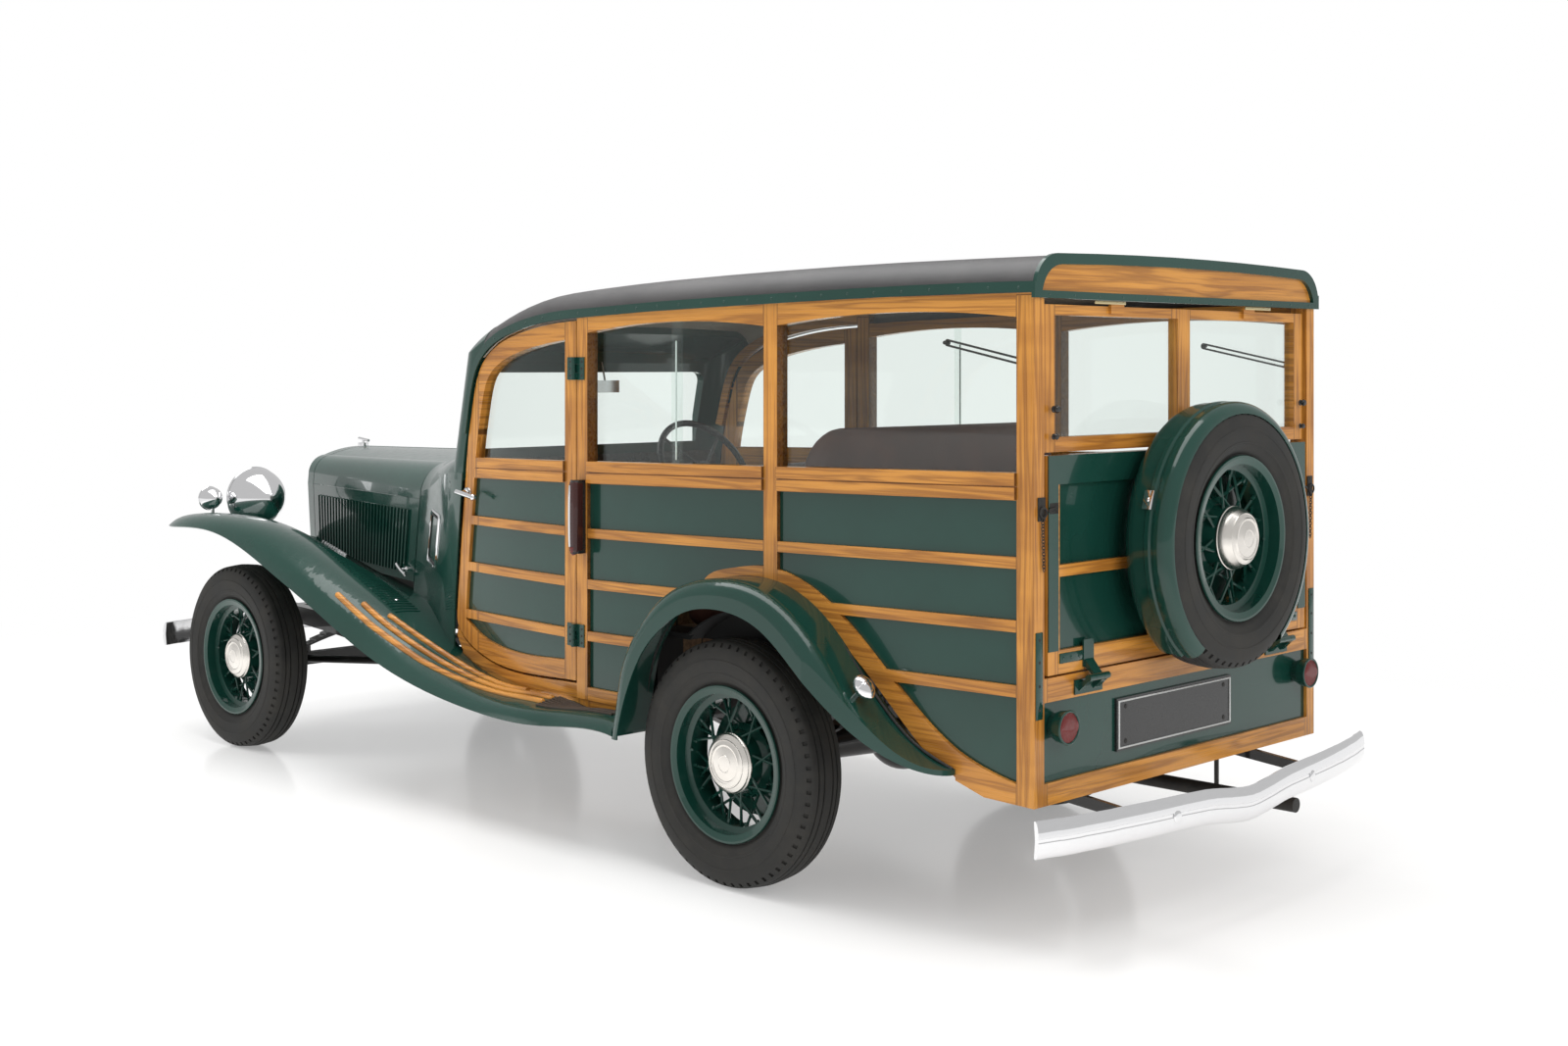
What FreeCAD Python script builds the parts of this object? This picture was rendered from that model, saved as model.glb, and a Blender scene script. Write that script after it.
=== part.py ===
import FreeCAD, Part
import math
import os

# Wood-bodied station wagon of the 1930s. Drawn with +X forward, +Y left, +Z up, millimetres,
# x = 0 at the rear axle and z = 0 on the ground. Every piece is moved on export so that the
# origin lies under the middle of the whole length.

V = FreeCAD.Vector
X_AXIS, Y_AXIS, Z_AXIS = V(1, 0, 0), V(0, 1, 0), V(0, 0, 1)
SIDES = {"left": 1, "right": -1}

# Wheels and running gear
WHEELBASE = 2845.0
REAR_HALF_TRACK = 720.0
FRONT_HALF_TRACK = 678.0
TYRE_RADIUS = 357.0
TYRE_WIDTH = 155.0
RIM_RADIUS = 224.0
RIM_WIDTH = 132.0
RIM_WALL = 6.0
SPOKE_COUNT = 32
SPOKE_RADIUS = 4.5
HUB_CAP_RADIUS = 84.0
HUB_BACK = 60.0
DRUM_RADIUS = 160.0
SPINDLE_RADIUS = 16.0
RUNNING_CLEARANCE = 0.05
KINGPIN_HALF_TRACK = 560.0
KINGPIN_RADIUS = 13.0

# Wagon body
BODY_REAR = -1041.0
BODY_HALF_WIDTH = 697.0
PLAN_STRAIGHT_END = 300.0
PLAN_RADIUS = 9361.0
WOOD_DEPTH = 42.0
SLAT_DEPTH = 12.0
PANEL_THICKNESS = 6.0
SMALLEST_SHEET = 1e5
GLASS_DEPTH = 23.0
GLASS_THICKNESS = 5.0
POST_WIDTH = 56.0
C_POST_REAR = -131.0
B_POST_REAR = 727.0
SHUT_GAP = 5.0
DOOR_GAP = 9.0
DOOR_REBATE = 5.0
DOOR_REBATE_DEPTH = 12.0
DOOR_THICKNESS = 38.0
HEADER_DEPTH = 16.0
HEADER_HEIGHT = 32.0
BELT_AT_AXLE = 1209.0
BELT_SLOPE = 0.0182
BELT_HEIGHT = 70.0
SLAT_HEIGHT = 30.0
SLAT_TOPS = (996.0, 835.0, 670.0)
SLAT_SLOPE = 0.018
BODY_BOTTOM_REAR = 384.0
SILL_BOTTOM = 440.0
SILL_HEIGHT = 40.0
ROOF_SKIN = 8.0
ROOF_CROWN = 10.0
GUTTER_HEIGHT = 28.0
GUTTER_PROUD = 11.0
GUTTER_CLEARANCE = 1.0

# Windscreen, cowl, bonnet and nose
RAKE = math.radians(12.0)
SCREEN_HALF_WIDTH = 530.0
SCREEN_BOTTOM = 1205.0
SCREEN_TOP = 1475.0
COWL_WALL = 6.0
BONNET_WALL = 5.0
BONNET_REAR = 1975.0
BONNET_FRONT = 3060.0
BONNET_SPLIT = 1005.0
BONNET_BOTTOM = 690.0
LOUVRE_COUNT = 30
GRILLE_PITCH = 17.0

# Wings, running boards and bumpers
WING_OUTER = 845.0
WING_WALL = 5.0
STRIP_HEIGHT = 9.0
FRONT_BUMPER_FACE = 3395.0
REAR_BUMPER_FACE = -1250.0
BUMPER_HEIGHT = 96.0
BUMPER_HALF_WIDTH = 820.0

# Tailgate, lift window and spare wheel
GATE_HALF_WIDTH = 640.0
GATE_BOTTOM = 712.0
GATE_TOP = 1270.0
GATE_THICKNESS = 35.0
GATE_HINGE_X = -1075.0
GATE_HINGE_Z = 696.0
GATE_HINGE_Y = (-470.0, 470.0)
LIFT_BOTTOM = 1278.0
LIFT_TOP = 1655.0
LIFT_HINGE_X = -1037.0
LIFT_HINGE_Z = 1664.0
SPARE_X = -1150.0
SPARE_Z = 1031.0

ORIGIN_X = (FRONT_BUMPER_FACE + REAR_BUMPER_FACE) / 2.0


def edges_through(start, steps, place):
    """Edges from start through steps: a 2-D point is a line, a pair (middle, end) is an arc."""
    edges = []
    here = start
    for step in steps:
        if isinstance(step[0], tuple):
            middle, end = step
            edges.append(Part.Arc(place(*here), place(*middle), place(*end)).toShape())
        else:
            end = step
            edges.append(Part.LineSegment(place(*here), place(*end)).toShape())
        here = end
    if (place(*here) - place(*start)).Length > 1e-6:
        edges.append(Part.LineSegment(place(*here), place(*start)).toShape())
    return edges


def face(start, steps, place):
    return Part.Face(Part.Wire(edges_through(start, steps, place)))


def side_slab(start, steps, y0, y1):
    """An outline in the side view (x, z), made solid from y0 to y1."""
    return face(start, steps, lambda x, z: V(x, y0, z)).extrude(V(0, y1 - y0, 0))


def plan_slab(start, steps, z0, z1):
    """An outline in the plan view (x, y), made solid from z0 to z1."""
    return face(start, steps, lambda x, y: V(x, y, z0)).extrude(V(0, 0, z1 - z0))


def cross_slab(start, steps, x0, x1):
    """An outline across the car (y, z), made solid from x0 to x1."""
    return face(start, steps, lambda y, z: V(x0, y, z)).extrude(V(x1 - x0, 0, 0))


def box(x0, x1, y0, y1, z0, z1):
    return Part.makeBox(x1 - x0, y1 - y0, z1 - z0, V(x0, y0, z0))


def rod(a, b, radius):
    a, b = V(*a), V(*b)
    return Part.makeCylinder(radius, (b - a).Length, a, b - a)


def fuse(first, *others):
    others = [one for one in others if one is not None]
    return first.fuse(others).removeSplitter() if others else first


def pipe_run(points, radius):
    """A round bar through points, with a ball at each bend."""
    pieces = [rod(a, b, radius) for a, b in zip(points, points[1:])]
    pieces += [Part.makeSphere(radius, V(*p)) for p in points[1:-1]]
    return fuse(*pieces)


def largest(shape):
    return max(shape.Solids, key=lambda one: one.Volume)


def mirrored(shape):
    return shape.mirror(V(0, 0, 0), Y_AXIS)


def on_side(shape, side):
    return shape if side > 0 else mirrored(shape)


def both_sides(shape):
    return Part.makeCompound([shape, mirrored(shape)])


def through_points(points, place):
    curve = Part.BSplineCurve()
    curve.interpolate([place(*p) for p in points])
    return curve.toShape()


# Plan line of the body side: straight, then one long arc in towards the cowl

def half_width(x, depth=0.0):
    """Half width of the body at x, set in by depth."""
    if x <= PLAN_STRAIGHT_END:
        return BODY_HALF_WIDTH - depth
    radius = PLAN_RADIUS - depth
    run = x - PLAN_STRAIGHT_END
    return BODY_HALF_WIDTH - PLAN_RADIUS + math.sqrt(radius ** 2 - run ** 2)


def side_band(outer, inner, x0=-1300.0, x1=1700.0, z0=200.0, z1=2000.0):
    """The wall of space between two depths behind the left body side."""
    middle = (PLAN_STRAIGHT_END + x1) / 2.0
    points = []
    for depth in (outer, inner):
        points.append([(x, half_width(x, depth)) for x in (x0, PLAN_STRAIGHT_END, middle, x1)])
    (a0, a1, a2, a3), (b0, b1, b2, b3) = points
    return plan_slab(a0, [a1, (a2, a3), b3, (b2, b1), b0], z0, z1)


def side_piece(start, steps, outer, inner):
    """An outline in the side view cut out of the left body side between two depths."""
    return side_slab(start, steps, 300.0, 900.0).common(side_band(outer, inner))


# Heights along the body

def belt_top(x):
    return BELT_AT_AXLE - BELT_SLOPE * x


def belt_bottom(x):
    return belt_top(x) - BELT_HEIGHT


def slat_top(number, x):
    return SLAT_TOPS[number] - SLAT_SLOPE * min(x, B_POST_REAR)


# Lines of the side view

B_POST_FRONT = B_POST_REAR + POST_WIDTH
C_POST_FRONT = C_POST_REAR + POST_WIDTH
REAR_POST_FRONT = BODY_REAR + POST_WIDTH
DOOR_REAR = B_POST_FRONT + SHUT_GAP

# Top and front edge of the door, from the B post over the window and down to the sill
DOOR_EDGE = [(DOOR_REAR, 1642.0), (995.0, 1626.0), (1131.0, 1602.0), (1229.0, 1575.0), (1310.0, 1536.0),
             (1362.0, 1490.0), (1394.0, 1430.0), (1418.0, 1350.0), (1440.0, 1262.0), (1465.0, 1100.0),
             (1496.0, 870.0), (1523.0, 640.0)]
DOOR_BOTTOM = [(1523.0, 640.0), (1516.0, 600.0), (1480.0, 566.0), (1380.0, 522.0), (1270.0, 497.0),
               (1040.0, 485.0), (DOOR_REAR, 494.0)]
# Roof in the side view: x, eave height, top height at the shoulder
ROOF_FRONT = 1340.0
ROOF_LINE = [(BODY_REAR, 1683.0, 1780.0), (-530.0, 1683.0, 1781.0), (-79.0, 1675.0, 1775.0),
             (400.0, 1664.0, 1762.0),
             (784.0, 1650.0, 1744.0), (980.0, 1636.0, 1729.0), (1131.0, 1612.0, 1702.0),
             (1249.0, 1577.0, 1670.0),
             (ROOF_FRONT, 1527.0, 1640.0)]


def shifted(points, distance):
    """Points moved to the left of their direction of travel by distance."""
    moved = []
    for i, (x, z) in enumerate(points):
        ax, az = points[max(i - 1, 0)]
        bx, bz = points[min(i + 1, len(points) - 1)]
        length = math.hypot(bx - ax, bz - az)
        moved.append((x - (bz - az) / length * distance, z + (bx - ax) / length * distance))
    return moved


def smooth_value(x, column):
    """Value at x of a smooth curve through one column of the roof's line."""
    slopes = []
    for i in range(len(ROOF_LINE)):
        a, b = ROOF_LINE[max(i - 1, 0)], ROOF_LINE[min(i + 1, len(ROOF_LINE) - 1)]
        slopes.append((b[column] - a[column]) / (b[0] - a[0]))
    i = max(k for k in range(len(ROOF_LINE) - 1) if ROOF_LINE[k][0] <= x)
    a, b = ROOF_LINE[i], ROOF_LINE[i + 1]
    run = b[0] - a[0]
    t = (x - a[0]) / run
    return ((2 * t ** 3 - 3 * t ** 2 + 1) * a[column] + (t ** 3 - 2 * t ** 2 + t) * run * slopes[i] +
            (3 * t ** 2 - 2 * t ** 3) * b[column] + (t ** 3 - t ** 2) * run * slopes[i + 1])


# Where the roof's cross-sections stand, closer together where it curves down to the windscreen
ROOF_X = [BODY_REAR, -800.0, -530.0, -300.0, -79.0, 160.0, 400.0, 560.0, B_POST_REAR, B_POST_FRONT, 900.0,
          980.0,
          1060.0, 1131.0, 1190.0, 1249.0, 1297.0, ROOF_FRONT]
EAVE = [(x, smooth_value(x, 1)) for x in ROOF_X if x <= B_POST_FRONT]


def spline_side_face(curve_points, line_points, y):
    """A face in the side view: one smooth curve, closed by straight lines through line_points."""
    place = lambda x, z: V(x, y, z)
    curve = through_points(curve_points, place)
    corners = [curve_points[-1]] + line_points + [curve_points[0]]
    lines = [Part.LineSegment(place(*a), place(*b)).toShape() for a, b in zip(corners, corners[1:])]
    return Part.Face(Part.Wire([curve] + lines))


def spline_slab(curve_points, line_points, y0, y1):
    return spline_side_face(curve_points, line_points, y0).extrude(V(0, y1 - y0, 0))


def two_spline_slab(first, second, y0, y1):
    """A slab between two smooth curves that run the same way, joined by straight ends."""
    place = lambda x, z: V(x, y0, z)
    edges = [through_points(first, place),
             Part.LineSegment(place(*first[-1]), place(*second[-1])).toShape(),
             through_points(second, place),
             Part.LineSegment(place(*second[0]), place(*first[0])).toShape()]
    return Part.Face(Part.Wire(Part.__sortEdges__(edges))).extrude(V(0, y1 - y0, 0))


# Rear wing outline in the side view, over the top from the front leg to the tail
REAR_WING_TOP = [(447.0, 388.0), (421.0, 510.0), (392.0, 620.0), (321.0, 728.0), (240.0, 808.0),
                 (120.0, 870.0), (-16.0, 892.0), (-140.0, 884.0), (-250.0, 845.0), (-386.0, 743.0),
                 (-524.0, 592.0), (-640.0, 500.0), (-785.0, 447.0)]
WHEEL_OPENING = [(397.0, 388.0), (372.0, 479.0), (330.0, 577.0), (274.0, 664.0), (191.0, 739.0),
                 (100.0, 789.0), (0.0, 808.0), (-98.0, 803.0), (-198.0, 773.0), (-331.0, 679.0),
                 (-460.0, 572.0), (-562.0, 502.0), (-660.0, 462.0), (-800.0, 430.0)]
# Plan line along which the rear wing narrows to its tail
REAR_WING_TAIL = [(-240.0, 854.0), (-340.0, 851.0), (-441.0, 838.0), (-567.0, 812.0), (-680.0, 792.0),
                  (-755.0, 760.0), (-788.0, 700.0)]
# Where the wing meets the body side
WING_ROOT = [(440.0, 440.0), (421.0, 510.0), (392.0, 620.0), (321.0, 728.0), (240.0, 808.0),
             (120.0, 868.0), (-16.0, 886.0), (-110.0, 872.0), (-200.0, 841.0), (-370.0, 744.0),
             (-480.0, 658.0), (-599.0, 550.0), (-690.0, 474.0), (-782.0, 419.0)]


def spoked_wheel(with_drum=True):
    """Wire wheel about the origin, turning about Y, with its outer face towards +Y."""
    flange = RIM_WIDTH / 2.0
    bead = RIM_RADIUS - 17.0
    well = RIM_RADIUS - 34.0
    profile = [(flange, RIM_RADIUS), (flange - 4.0, RIM_RADIUS + 2.0), (flange - 10.0, bead),
               (26.0, bead - 2.0), (20.0, well), (-20.0, well), (-26.0, bead - 2.0),
               (10.0 - flange, bead), (4.0 - flange, RIM_RADIUS + 2.0), (-flange, RIM_RADIUS),
               (-flange, RIM_RADIUS - RIM_WALL), (4.0 - flange, bead - RIM_WALL),
               (-28.0, bead - RIM_WALL), (-22.0, well - RIM_WALL), (22.0, well - RIM_WALL),
               (28.0, bead - RIM_WALL), (flange - 4.0, bead - RIM_WALL), (flange, RIM_RADIUS - RIM_WALL)]
    place = lambda y, r: V(0, y, r)
    rim = face(profile[0], profile[1:], place).revolve(V(0, 0, 0), Y_AXIS, 360)
    hub_outline = [(60.0, 0.0), (59.0, 24.0), (56.5, 50.0), (52.0, HUB_CAP_RADIUS - 12.0),
                   (40.0, HUB_CAP_RADIUS),
                   (-4.0, 92.0), (-22.0, 108.0), (-30.0, 108.0), (-30.0, 74.0), (-52.0, 74.0)]
    if with_drum:
        hub_outline += [(-52.0, DRUM_RADIUS), (-98.0, DRUM_RADIUS), (-98.0, DRUM_RADIUS - 10.0),
                        (-HUB_BACK, DRUM_RADIUS - 10.0)]
    else:
        hub_outline += [(-HUB_BACK, 74.0)]
    hub_outline += [(-HUB_BACK, 0.0)]
    hub = face(hub_outline[0], hub_outline[1:], place).revolve(V(0, 0, 0), Y_AXIS, 360)
    bore = Part.makeCylinder(SPINDLE_RADIUS + RUNNING_CLEARANCE, 130.0, V(0, -100.0, 0), Y_AXIS)
    spokes = []
    for number in range(SPOKE_COUNT):
        outer_row = number % 2 == 0
        angle = 2 * math.pi * number / SPOKE_COUNT
        lean = math.radians(24.0) * (1 if number % 4 < 2 else -1)
        y_hub, r_hub, y_rim = (26.0, 80.0, -8.0) if outer_row else (-26.0, 100.0, 8.0)
        r_rim = well - RIM_WALL / 2.0
        start = V(r_hub * math.sin(angle + lean), y_hub, r_hub * math.cos(angle + lean))
        end = V(r_rim * math.sin(angle), y_rim, r_rim * math.cos(angle))
        axis = end - start
        ring = [V(SPOKE_RADIUS * math.cos(k * math.pi / 3), SPOKE_RADIUS * math.sin(k * math.pi / 3), 0)
                for k in range(7)]
        bar = Part.Face(Part.makePolygon(ring)).extrude(V(0, 0, axis.Length))
        bar.Placement = FreeCAD.Placement(start, FreeCAD.Rotation(Z_AXIS, axis))
        spokes.append(bar)
    wheel = rim.fuse([hub] + spokes)
    return wheel.cut(bore) if with_drum else wheel


def tyre():
    """Tyre about the origin, turning about Y, seated on the rim with a small clearance."""
    half = TYRE_WIDTH / 2.0
    seat = RIM_RADIUS - 16.7
    bead = RIM_WIDTH / 2.0 - 11.0
    tread = half - 22.0
    place = lambda y, r: V(0, y, r)
    outline = face((-bead, seat),
                   [(bead, seat), (bead + 0.0, RIM_RADIUS + 4.0),
                    ((half + 1.0, (RIM_RADIUS + TYRE_RADIUS) / 2.0), (tread, TYRE_RADIUS - 8.0)),
                    ((0.0, TYRE_RADIUS), (-tread, TYRE_RADIUS - 8.0)),
                    ((-half - 1.0, (RIM_RADIUS + TYRE_RADIUS) / 2.0), (-bead, RIM_RADIUS + 4.0))], place)
    ring = outline.revolve(V(0, 0, 0), Y_AXIS, 360)
    air = [(-bead + 12.0, seat - 1.0), (bead - 12.0, seat - 1.0), (half - 14.0, RIM_RADIUS + 50.0),
           (tread - 8.0, TYRE_RADIUS - 24.0), (8.0 - tread, TYRE_RADIUS - 24.0),
           (14.0 - half, RIM_RADIUS + 50.0)]
    return ring.cut(face(air[0], air[1:], place).revolve(V(0, 0, 0), Y_AXIS, 360))


def placed_wheel(shape, x, y, z):
    """A wheel or tyre put at its hub centre, outer face away from the car."""
    shape = shape.copy()
    if y < 0:
        shape = mirrored(shape)
    shape.translate(V(x, y, z))
    return shape


def spare_place(shape):
    """A wheel or tyre turned to face the rear and put on the tailgate."""
    shape = shape.copy()
    shape.rotate(V(0, 0, 0), Z_AXIS, 90)
    shape.translate(V(SPARE_X, 0, SPARE_Z))
    return shape


# Wood side frame

def opening(x0, x1, z_low, z_high, arch=0.0):
    """A window or panel opening: straight sides, a bottom and a top that follow functions of x."""
    top_left, top_right = (x0, z_high(x0)), (x1, z_high(x1))
    start = (x0, z_low(x0))
    steps = [(x1, z_low(x1)), top_right]
    if arch:
        middle = (x0 + x1) / 2.0
        steps.append(((middle, z_high(middle) + arch), top_left))
    else:
        steps.append(top_left)
    return start, steps


WINDOW_LINES = {
    "rear": (REAR_POST_FRONT, C_POST_REAR, belt_top, lambda x: 1618.0 - 0.010 * (x + 560.0), 24.0),
    "middle": (C_POST_FRONT, B_POST_REAR, belt_top, lambda x: 1608.0 - 0.012 * (x - 330.0), 24.0)}


def wood_blank():
    """The left side's whole outline from the rear post to the B post, as a slab."""
    place = lambda x, z: V(x, 500.0, z)
    root = list(reversed(WING_ROOT))
    chain = ([root[-1], (B_POST_FRONT, SILL_BOTTOM)] + list(reversed(EAVE)) +
             [(BODY_REAR, BODY_BOTTOM_REAR), (-880.0, BODY_BOTTOM_REAR + 5.0), root[0]])
    edges = [through_points(root, place)]
    edges += [Part.LineSegment(place(*a), place(*b)).toShape() for a, b in zip(chain, chain[1:])]
    return Part.Face(Part.Wire(edges)).extrude(V(0, 400.0, 0))


def panel_hole(x0, x1):
    """The opening between two posts, from below the body up to the belt rail."""
    return side_slab((x0, 300.0), [(x1, 300.0), (x1, belt_bottom(x1)), (x0, belt_bottom(x0))], 400.0, 1000.0)


ARCH_TOP = [(188.0, 846.0), (170.0, 870.0), (63.0, 908.0), (-60.0, 924.0), (-180.0, 908.0), (-311.0, 853.0),
            (-530.0, 686.0), (-669.0, 572.0), (-780.0, 500.0), (-867.0, 466.0), (REAR_POST_FRONT, 439.0)]


def side_frame():
    """Left wood frame: posts, header, belt rail, slats, wing arch, sill and the rail over the door."""
    windows = [side_slab(*opening(*lines), 400.0, 1000.0) for lines in WINDOW_LINES.values()]
    arch_band = arch_band_slab(ARCH_TOP)
    sill = box(380.0, B_POST_REAR, 400.0, 1000.0, 300.0, SILL_BOTTOM + SILL_HEIGHT)
    panels = [panel_hole(REAR_POST_FRONT, C_POST_REAR).cut(arch_band),
              panel_hole(C_POST_FRONT, B_POST_REAR).cut(sill.fuse(arch_band))]
    wood = wood_blank().cut(Part.makeCompound(windows)).cut(panels[0]).cut(panels[1])
    wood = wood.common(side_band(0.0, WOOD_DEPTH))
    wing_side = wing_root_slab()
    trim = [belt_bead(REAR_POST_FRONT, C_POST_REAR), belt_bead(C_POST_FRONT, B_POST_REAR)]
    for number in range(len(SLAT_TOPS)):
        for x0, x1 in ((REAR_POST_FRONT, C_POST_REAR), (C_POST_FRONT, B_POST_REAR)):
            trim.append(slat(number, x0, x1).cut(wing_side))
    return fuse(wood, *(trim + [door_header(), door_sill()])).cut(rear_wing_block())


def arch_band_slab(arch_outer):
    """The curved wood strip that follows the top of the rear wing."""
    inner = [(172.0, 838.0), (120.0, 868.0), (-16.0, 886.0), (-110.0, 872.0), (-200.0, 841.0),
             (-370.0, 744.0), (-480.0, 658.0), (-599.0, 550.0), (-690.0, 474.0), (-782.0, 419.0),
             (REAR_POST_FRONT + 30.0, 330.0), (REAR_POST_FRONT, 300.0)]
    return two_spline_slab(arch_outer, inner, 400.0, 1000.0)


def wing_root_slab():
    """All that lies under the line where the rear wing meets the body."""
    return spline_slab(WING_ROOT, [(-782.0, 100.0), (440.0, 100.0)], 300.0, 1000.0)


def slat(number, x0, x1):
    z0, z1 = slat_top(number, x0), slat_top(number, x1)
    return side_piece((x0, z0 - SLAT_HEIGHT), [(x1, z1 - SLAT_HEIGHT), (x1, z1), (x0, z0)], 0.0, SLAT_DEPTH)


def belt_bead(x0, x1):
    """The two rounded mouldings on the belt rail, as one raised strip with a groove."""
    half = BELT_HEIGHT / 2.0
    strips = []
    for low, high in ((2.0, half - 2.0), (half + 2.0, BELT_HEIGHT)):
        a, b = belt_bottom(x0), belt_bottom(x1)
        strips.append(side_piece((x0, a + low), [(x1, b + low), (x1, b + high), (x0, a + high)], -8.0, 4.0))
    return fuse(*strips)


def door_header():
    """Rail inside the roof's edge, from the B post over the door to the windscreen pillar."""
    edge = [(B_POST_FRONT - 8.0, DOOR_EDGE[0][1] + 0.5)] + DOOR_EDGE[:9]
    slab = two_spline_slab(shifted(edge, DOOR_GAP + HEADER_HEIGHT), shifted(edge, DOOR_GAP), 400.0, 1000.0)
    post_head = side_slab((B_POST_REAR, 1600.0), [(B_POST_FRONT, 1600.0),
                                                  (B_POST_FRONT, 1650.0 + HEADER_HEIGHT),
                                                  (B_POST_REAR, 1650.0 + HEADER_HEIGHT)], 400.0, 1000.0)
    band = side_band(HEADER_DEPTH, WOOD_DEPTH)
    return fuse(slab.common(band), post_head.common(band))


FOOT_SETBACK = 10.0


def door_sill():
    """Wood sill rail under the door, from the B post to the cowl."""
    top = shifted(DOOR_BOTTOM[1:], DOOR_GAP)
    foot = [(B_POST_FRONT - 1.0, top[-1][1]), (B_POST_FRONT - 1.0, SILL_BOTTOM), (1100.0, SILL_BOTTOM - 4.0),
            (1420.0, 480.0), (1500.0, 520.0), (1530.0, 560.0)]
    return spline_slab(top, foot, 300.0, 900.0).common(side_band(4.0, WOOD_DEPTH))


def sill_foot():
    """Wood under the sill, which stands on the running board."""
    line = [(470.0, SILL_BOTTOM + 2.0), (470.0, 380.0), (1500.0, 380.0), (1500.0, 522.0), (1420.0, 482.0),
            (1100.0, SILL_BOTTOM - 2.0)]
    return side_slab(line[0], line[1:], 300.0, 900.0).common(side_band(FOOT_SETBACK, WOOD_DEPTH))


def side_panels():
    """Green panel sheets of the left side, behind the slats."""
    place = lambda x, z: V(x, 500.0, z)
    root = list(reversed(WING_ROOT))
    edges = [through_points(root, place)]
    chain = [root[-1], (B_POST_REAR, SILL_BOTTOM), (B_POST_REAR, belt_bottom(B_POST_REAR)),
             (REAR_POST_FRONT, belt_bottom(REAR_POST_FRONT)), (REAR_POST_FRONT, BODY_BOTTOM_REAR + 3.0),
             root[0]]
    edges += [Part.LineSegment(place(*a), place(*b)).toShape() for a, b in zip(chain, chain[1:])]
    return Part.Face(Part.Wire(edges)).extrude(V(0, 400.0, 0))


def panel_sheets(frame):
    sheet = side_panels().common(side_band(SLAT_DEPTH, SLAT_DEPTH + PANEL_THICKNESS))
    return sheet.cut(frame)


def window_glass():
    """Left fixed and sliding panes: one rear pane and two overlapping middle panes."""
    x0, x1, low, high, arch = WINDOW_LINES["rear"]
    panes = [side_slab(*opening(x0, x1, low, high, arch), 400.0, 1000.0).common(
        side_band(GLASS_DEPTH, GLASS_DEPTH + GLASS_THICKNESS))]
    x0, x1, low, high, arch = WINDOW_LINES["middle"]
    whole = side_slab(*opening(x0, x1, low, high, arch), 400.0, 1000.0)
    meet = (x0 + x1) / 2.0
    lap = 18.0
    rear = whole.common(box(x0, meet + lap, 400, 1000, 0, 2000))
    front = whole.common(box(meet - lap, x1, 400, 1000, 0, 2000))
    panes.append(rear.common(side_band(GLASS_DEPTH, GLASS_DEPTH + GLASS_THICKNESS)))
    panes.append(front.common(side_band(GLASS_DEPTH + 9.0, GLASS_DEPTH + 9.0 + GLASS_THICKNESS)))
    return panes


# Door

def door_outline(inset=0.0):
    """Closed outline of the door in the side view as a face at y = 0."""
    place = lambda x, z: V(x, 0, z)
    edge = shifted(DOOR_EDGE, -inset)
    low = shifted(DOOR_BOTTOM, -inset)
    edge[0] = (DOOR_REAR + inset, edge[0][1])
    low[-1] = (DOOR_REAR + inset, low[-1][1])
    low[0] = edge[-1]
    edges = [through_points(edge, place), through_points(low, place),
             Part.LineSegment(place(*low[-1]), place(*edge[0])).toShape()]
    return Part.Face(Part.Wire(edges))


STILE = 60.0


def door_face_slab(inset=0.0):
    shape = door_outline(inset)
    shape.translate(V(0, 300.0, 0))
    return shape.extrude(V(0, 700.0, 0))


def door_window_space(inner):
    return inner.common(side_slab((DOOR_REAR, belt_top(DOOR_REAR)), [(1600.0, belt_top(1600.0)),
                                  (1600.0, 1800.0), (DOOR_REAR, 1800.0)], 200.0, 1100.0))


def door_panel_space(inner):
    return inner.common(side_slab((DOOR_REAR, 300.0), [(1700.0, 300.0), (1700.0, belt_bottom(1700.0)),
                                  (DOOR_REAR, belt_bottom(DOOR_REAR))], 200.0, 1100.0))


def door_frame():
    """Left door frame: stiles, curved top rail, belt rail, bottom rail and slats in one piece.

    Its inner part is set back from the edge, so that the front corner clears the pillar as it swings.
    """
    inner = door_face_slab(STILE)
    panel = door_panel_space(inner)
    whole = fuse(door_face_slab().common(side_band(0.0, DOOR_REBATE_DEPTH)),
                 door_face_slab(DOOR_REBATE).common(side_band(DOOR_REBATE_DEPTH, DOOR_THICKNESS)))
    wood = whole.cut(door_window_space(inner)).cut(panel)
    slats = []
    for number in range(len(SLAT_TOPS)):
        z = slat_top(number, DOOR_REAR)
        bar = side_piece((DOOR_REAR + 30.0, z - SLAT_HEIGHT), [(1600.0, z - SLAT_HEIGHT), (1600.0, z),
                         (DOOR_REAR + 30.0, z)], 0.0, SLAT_DEPTH)
        slats.append(bar.common(panel))
    bead = belt_bead(DOOR_REAR + STILE, 1600.0).common(inner)
    return fuse(wood, *(slats + [bead]))


def door_panel():
    return door_panel_space(door_face_slab(STILE)).common(side_band(SLAT_DEPTH, SLAT_DEPTH + PANEL_THICKNESS))


def door_glass():
    return door_window_space(door_face_slab(STILE)).common(side_band(GLASS_DEPTH,
                                                                     GLASS_DEPTH + GLASS_THICKNESS))


DOOR_HINGE_HEIGHTS = (640.0, 1490.0)
DOOR_HINGE_X = B_POST_FRONT + 3.0
DOOR_HINGE_OUT = 12.0
HINGE_RADIUS = 7.5


def door_hinge_y():
    return half_width(DOOR_HINGE_X) + DOOR_HINGE_OUT


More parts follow.
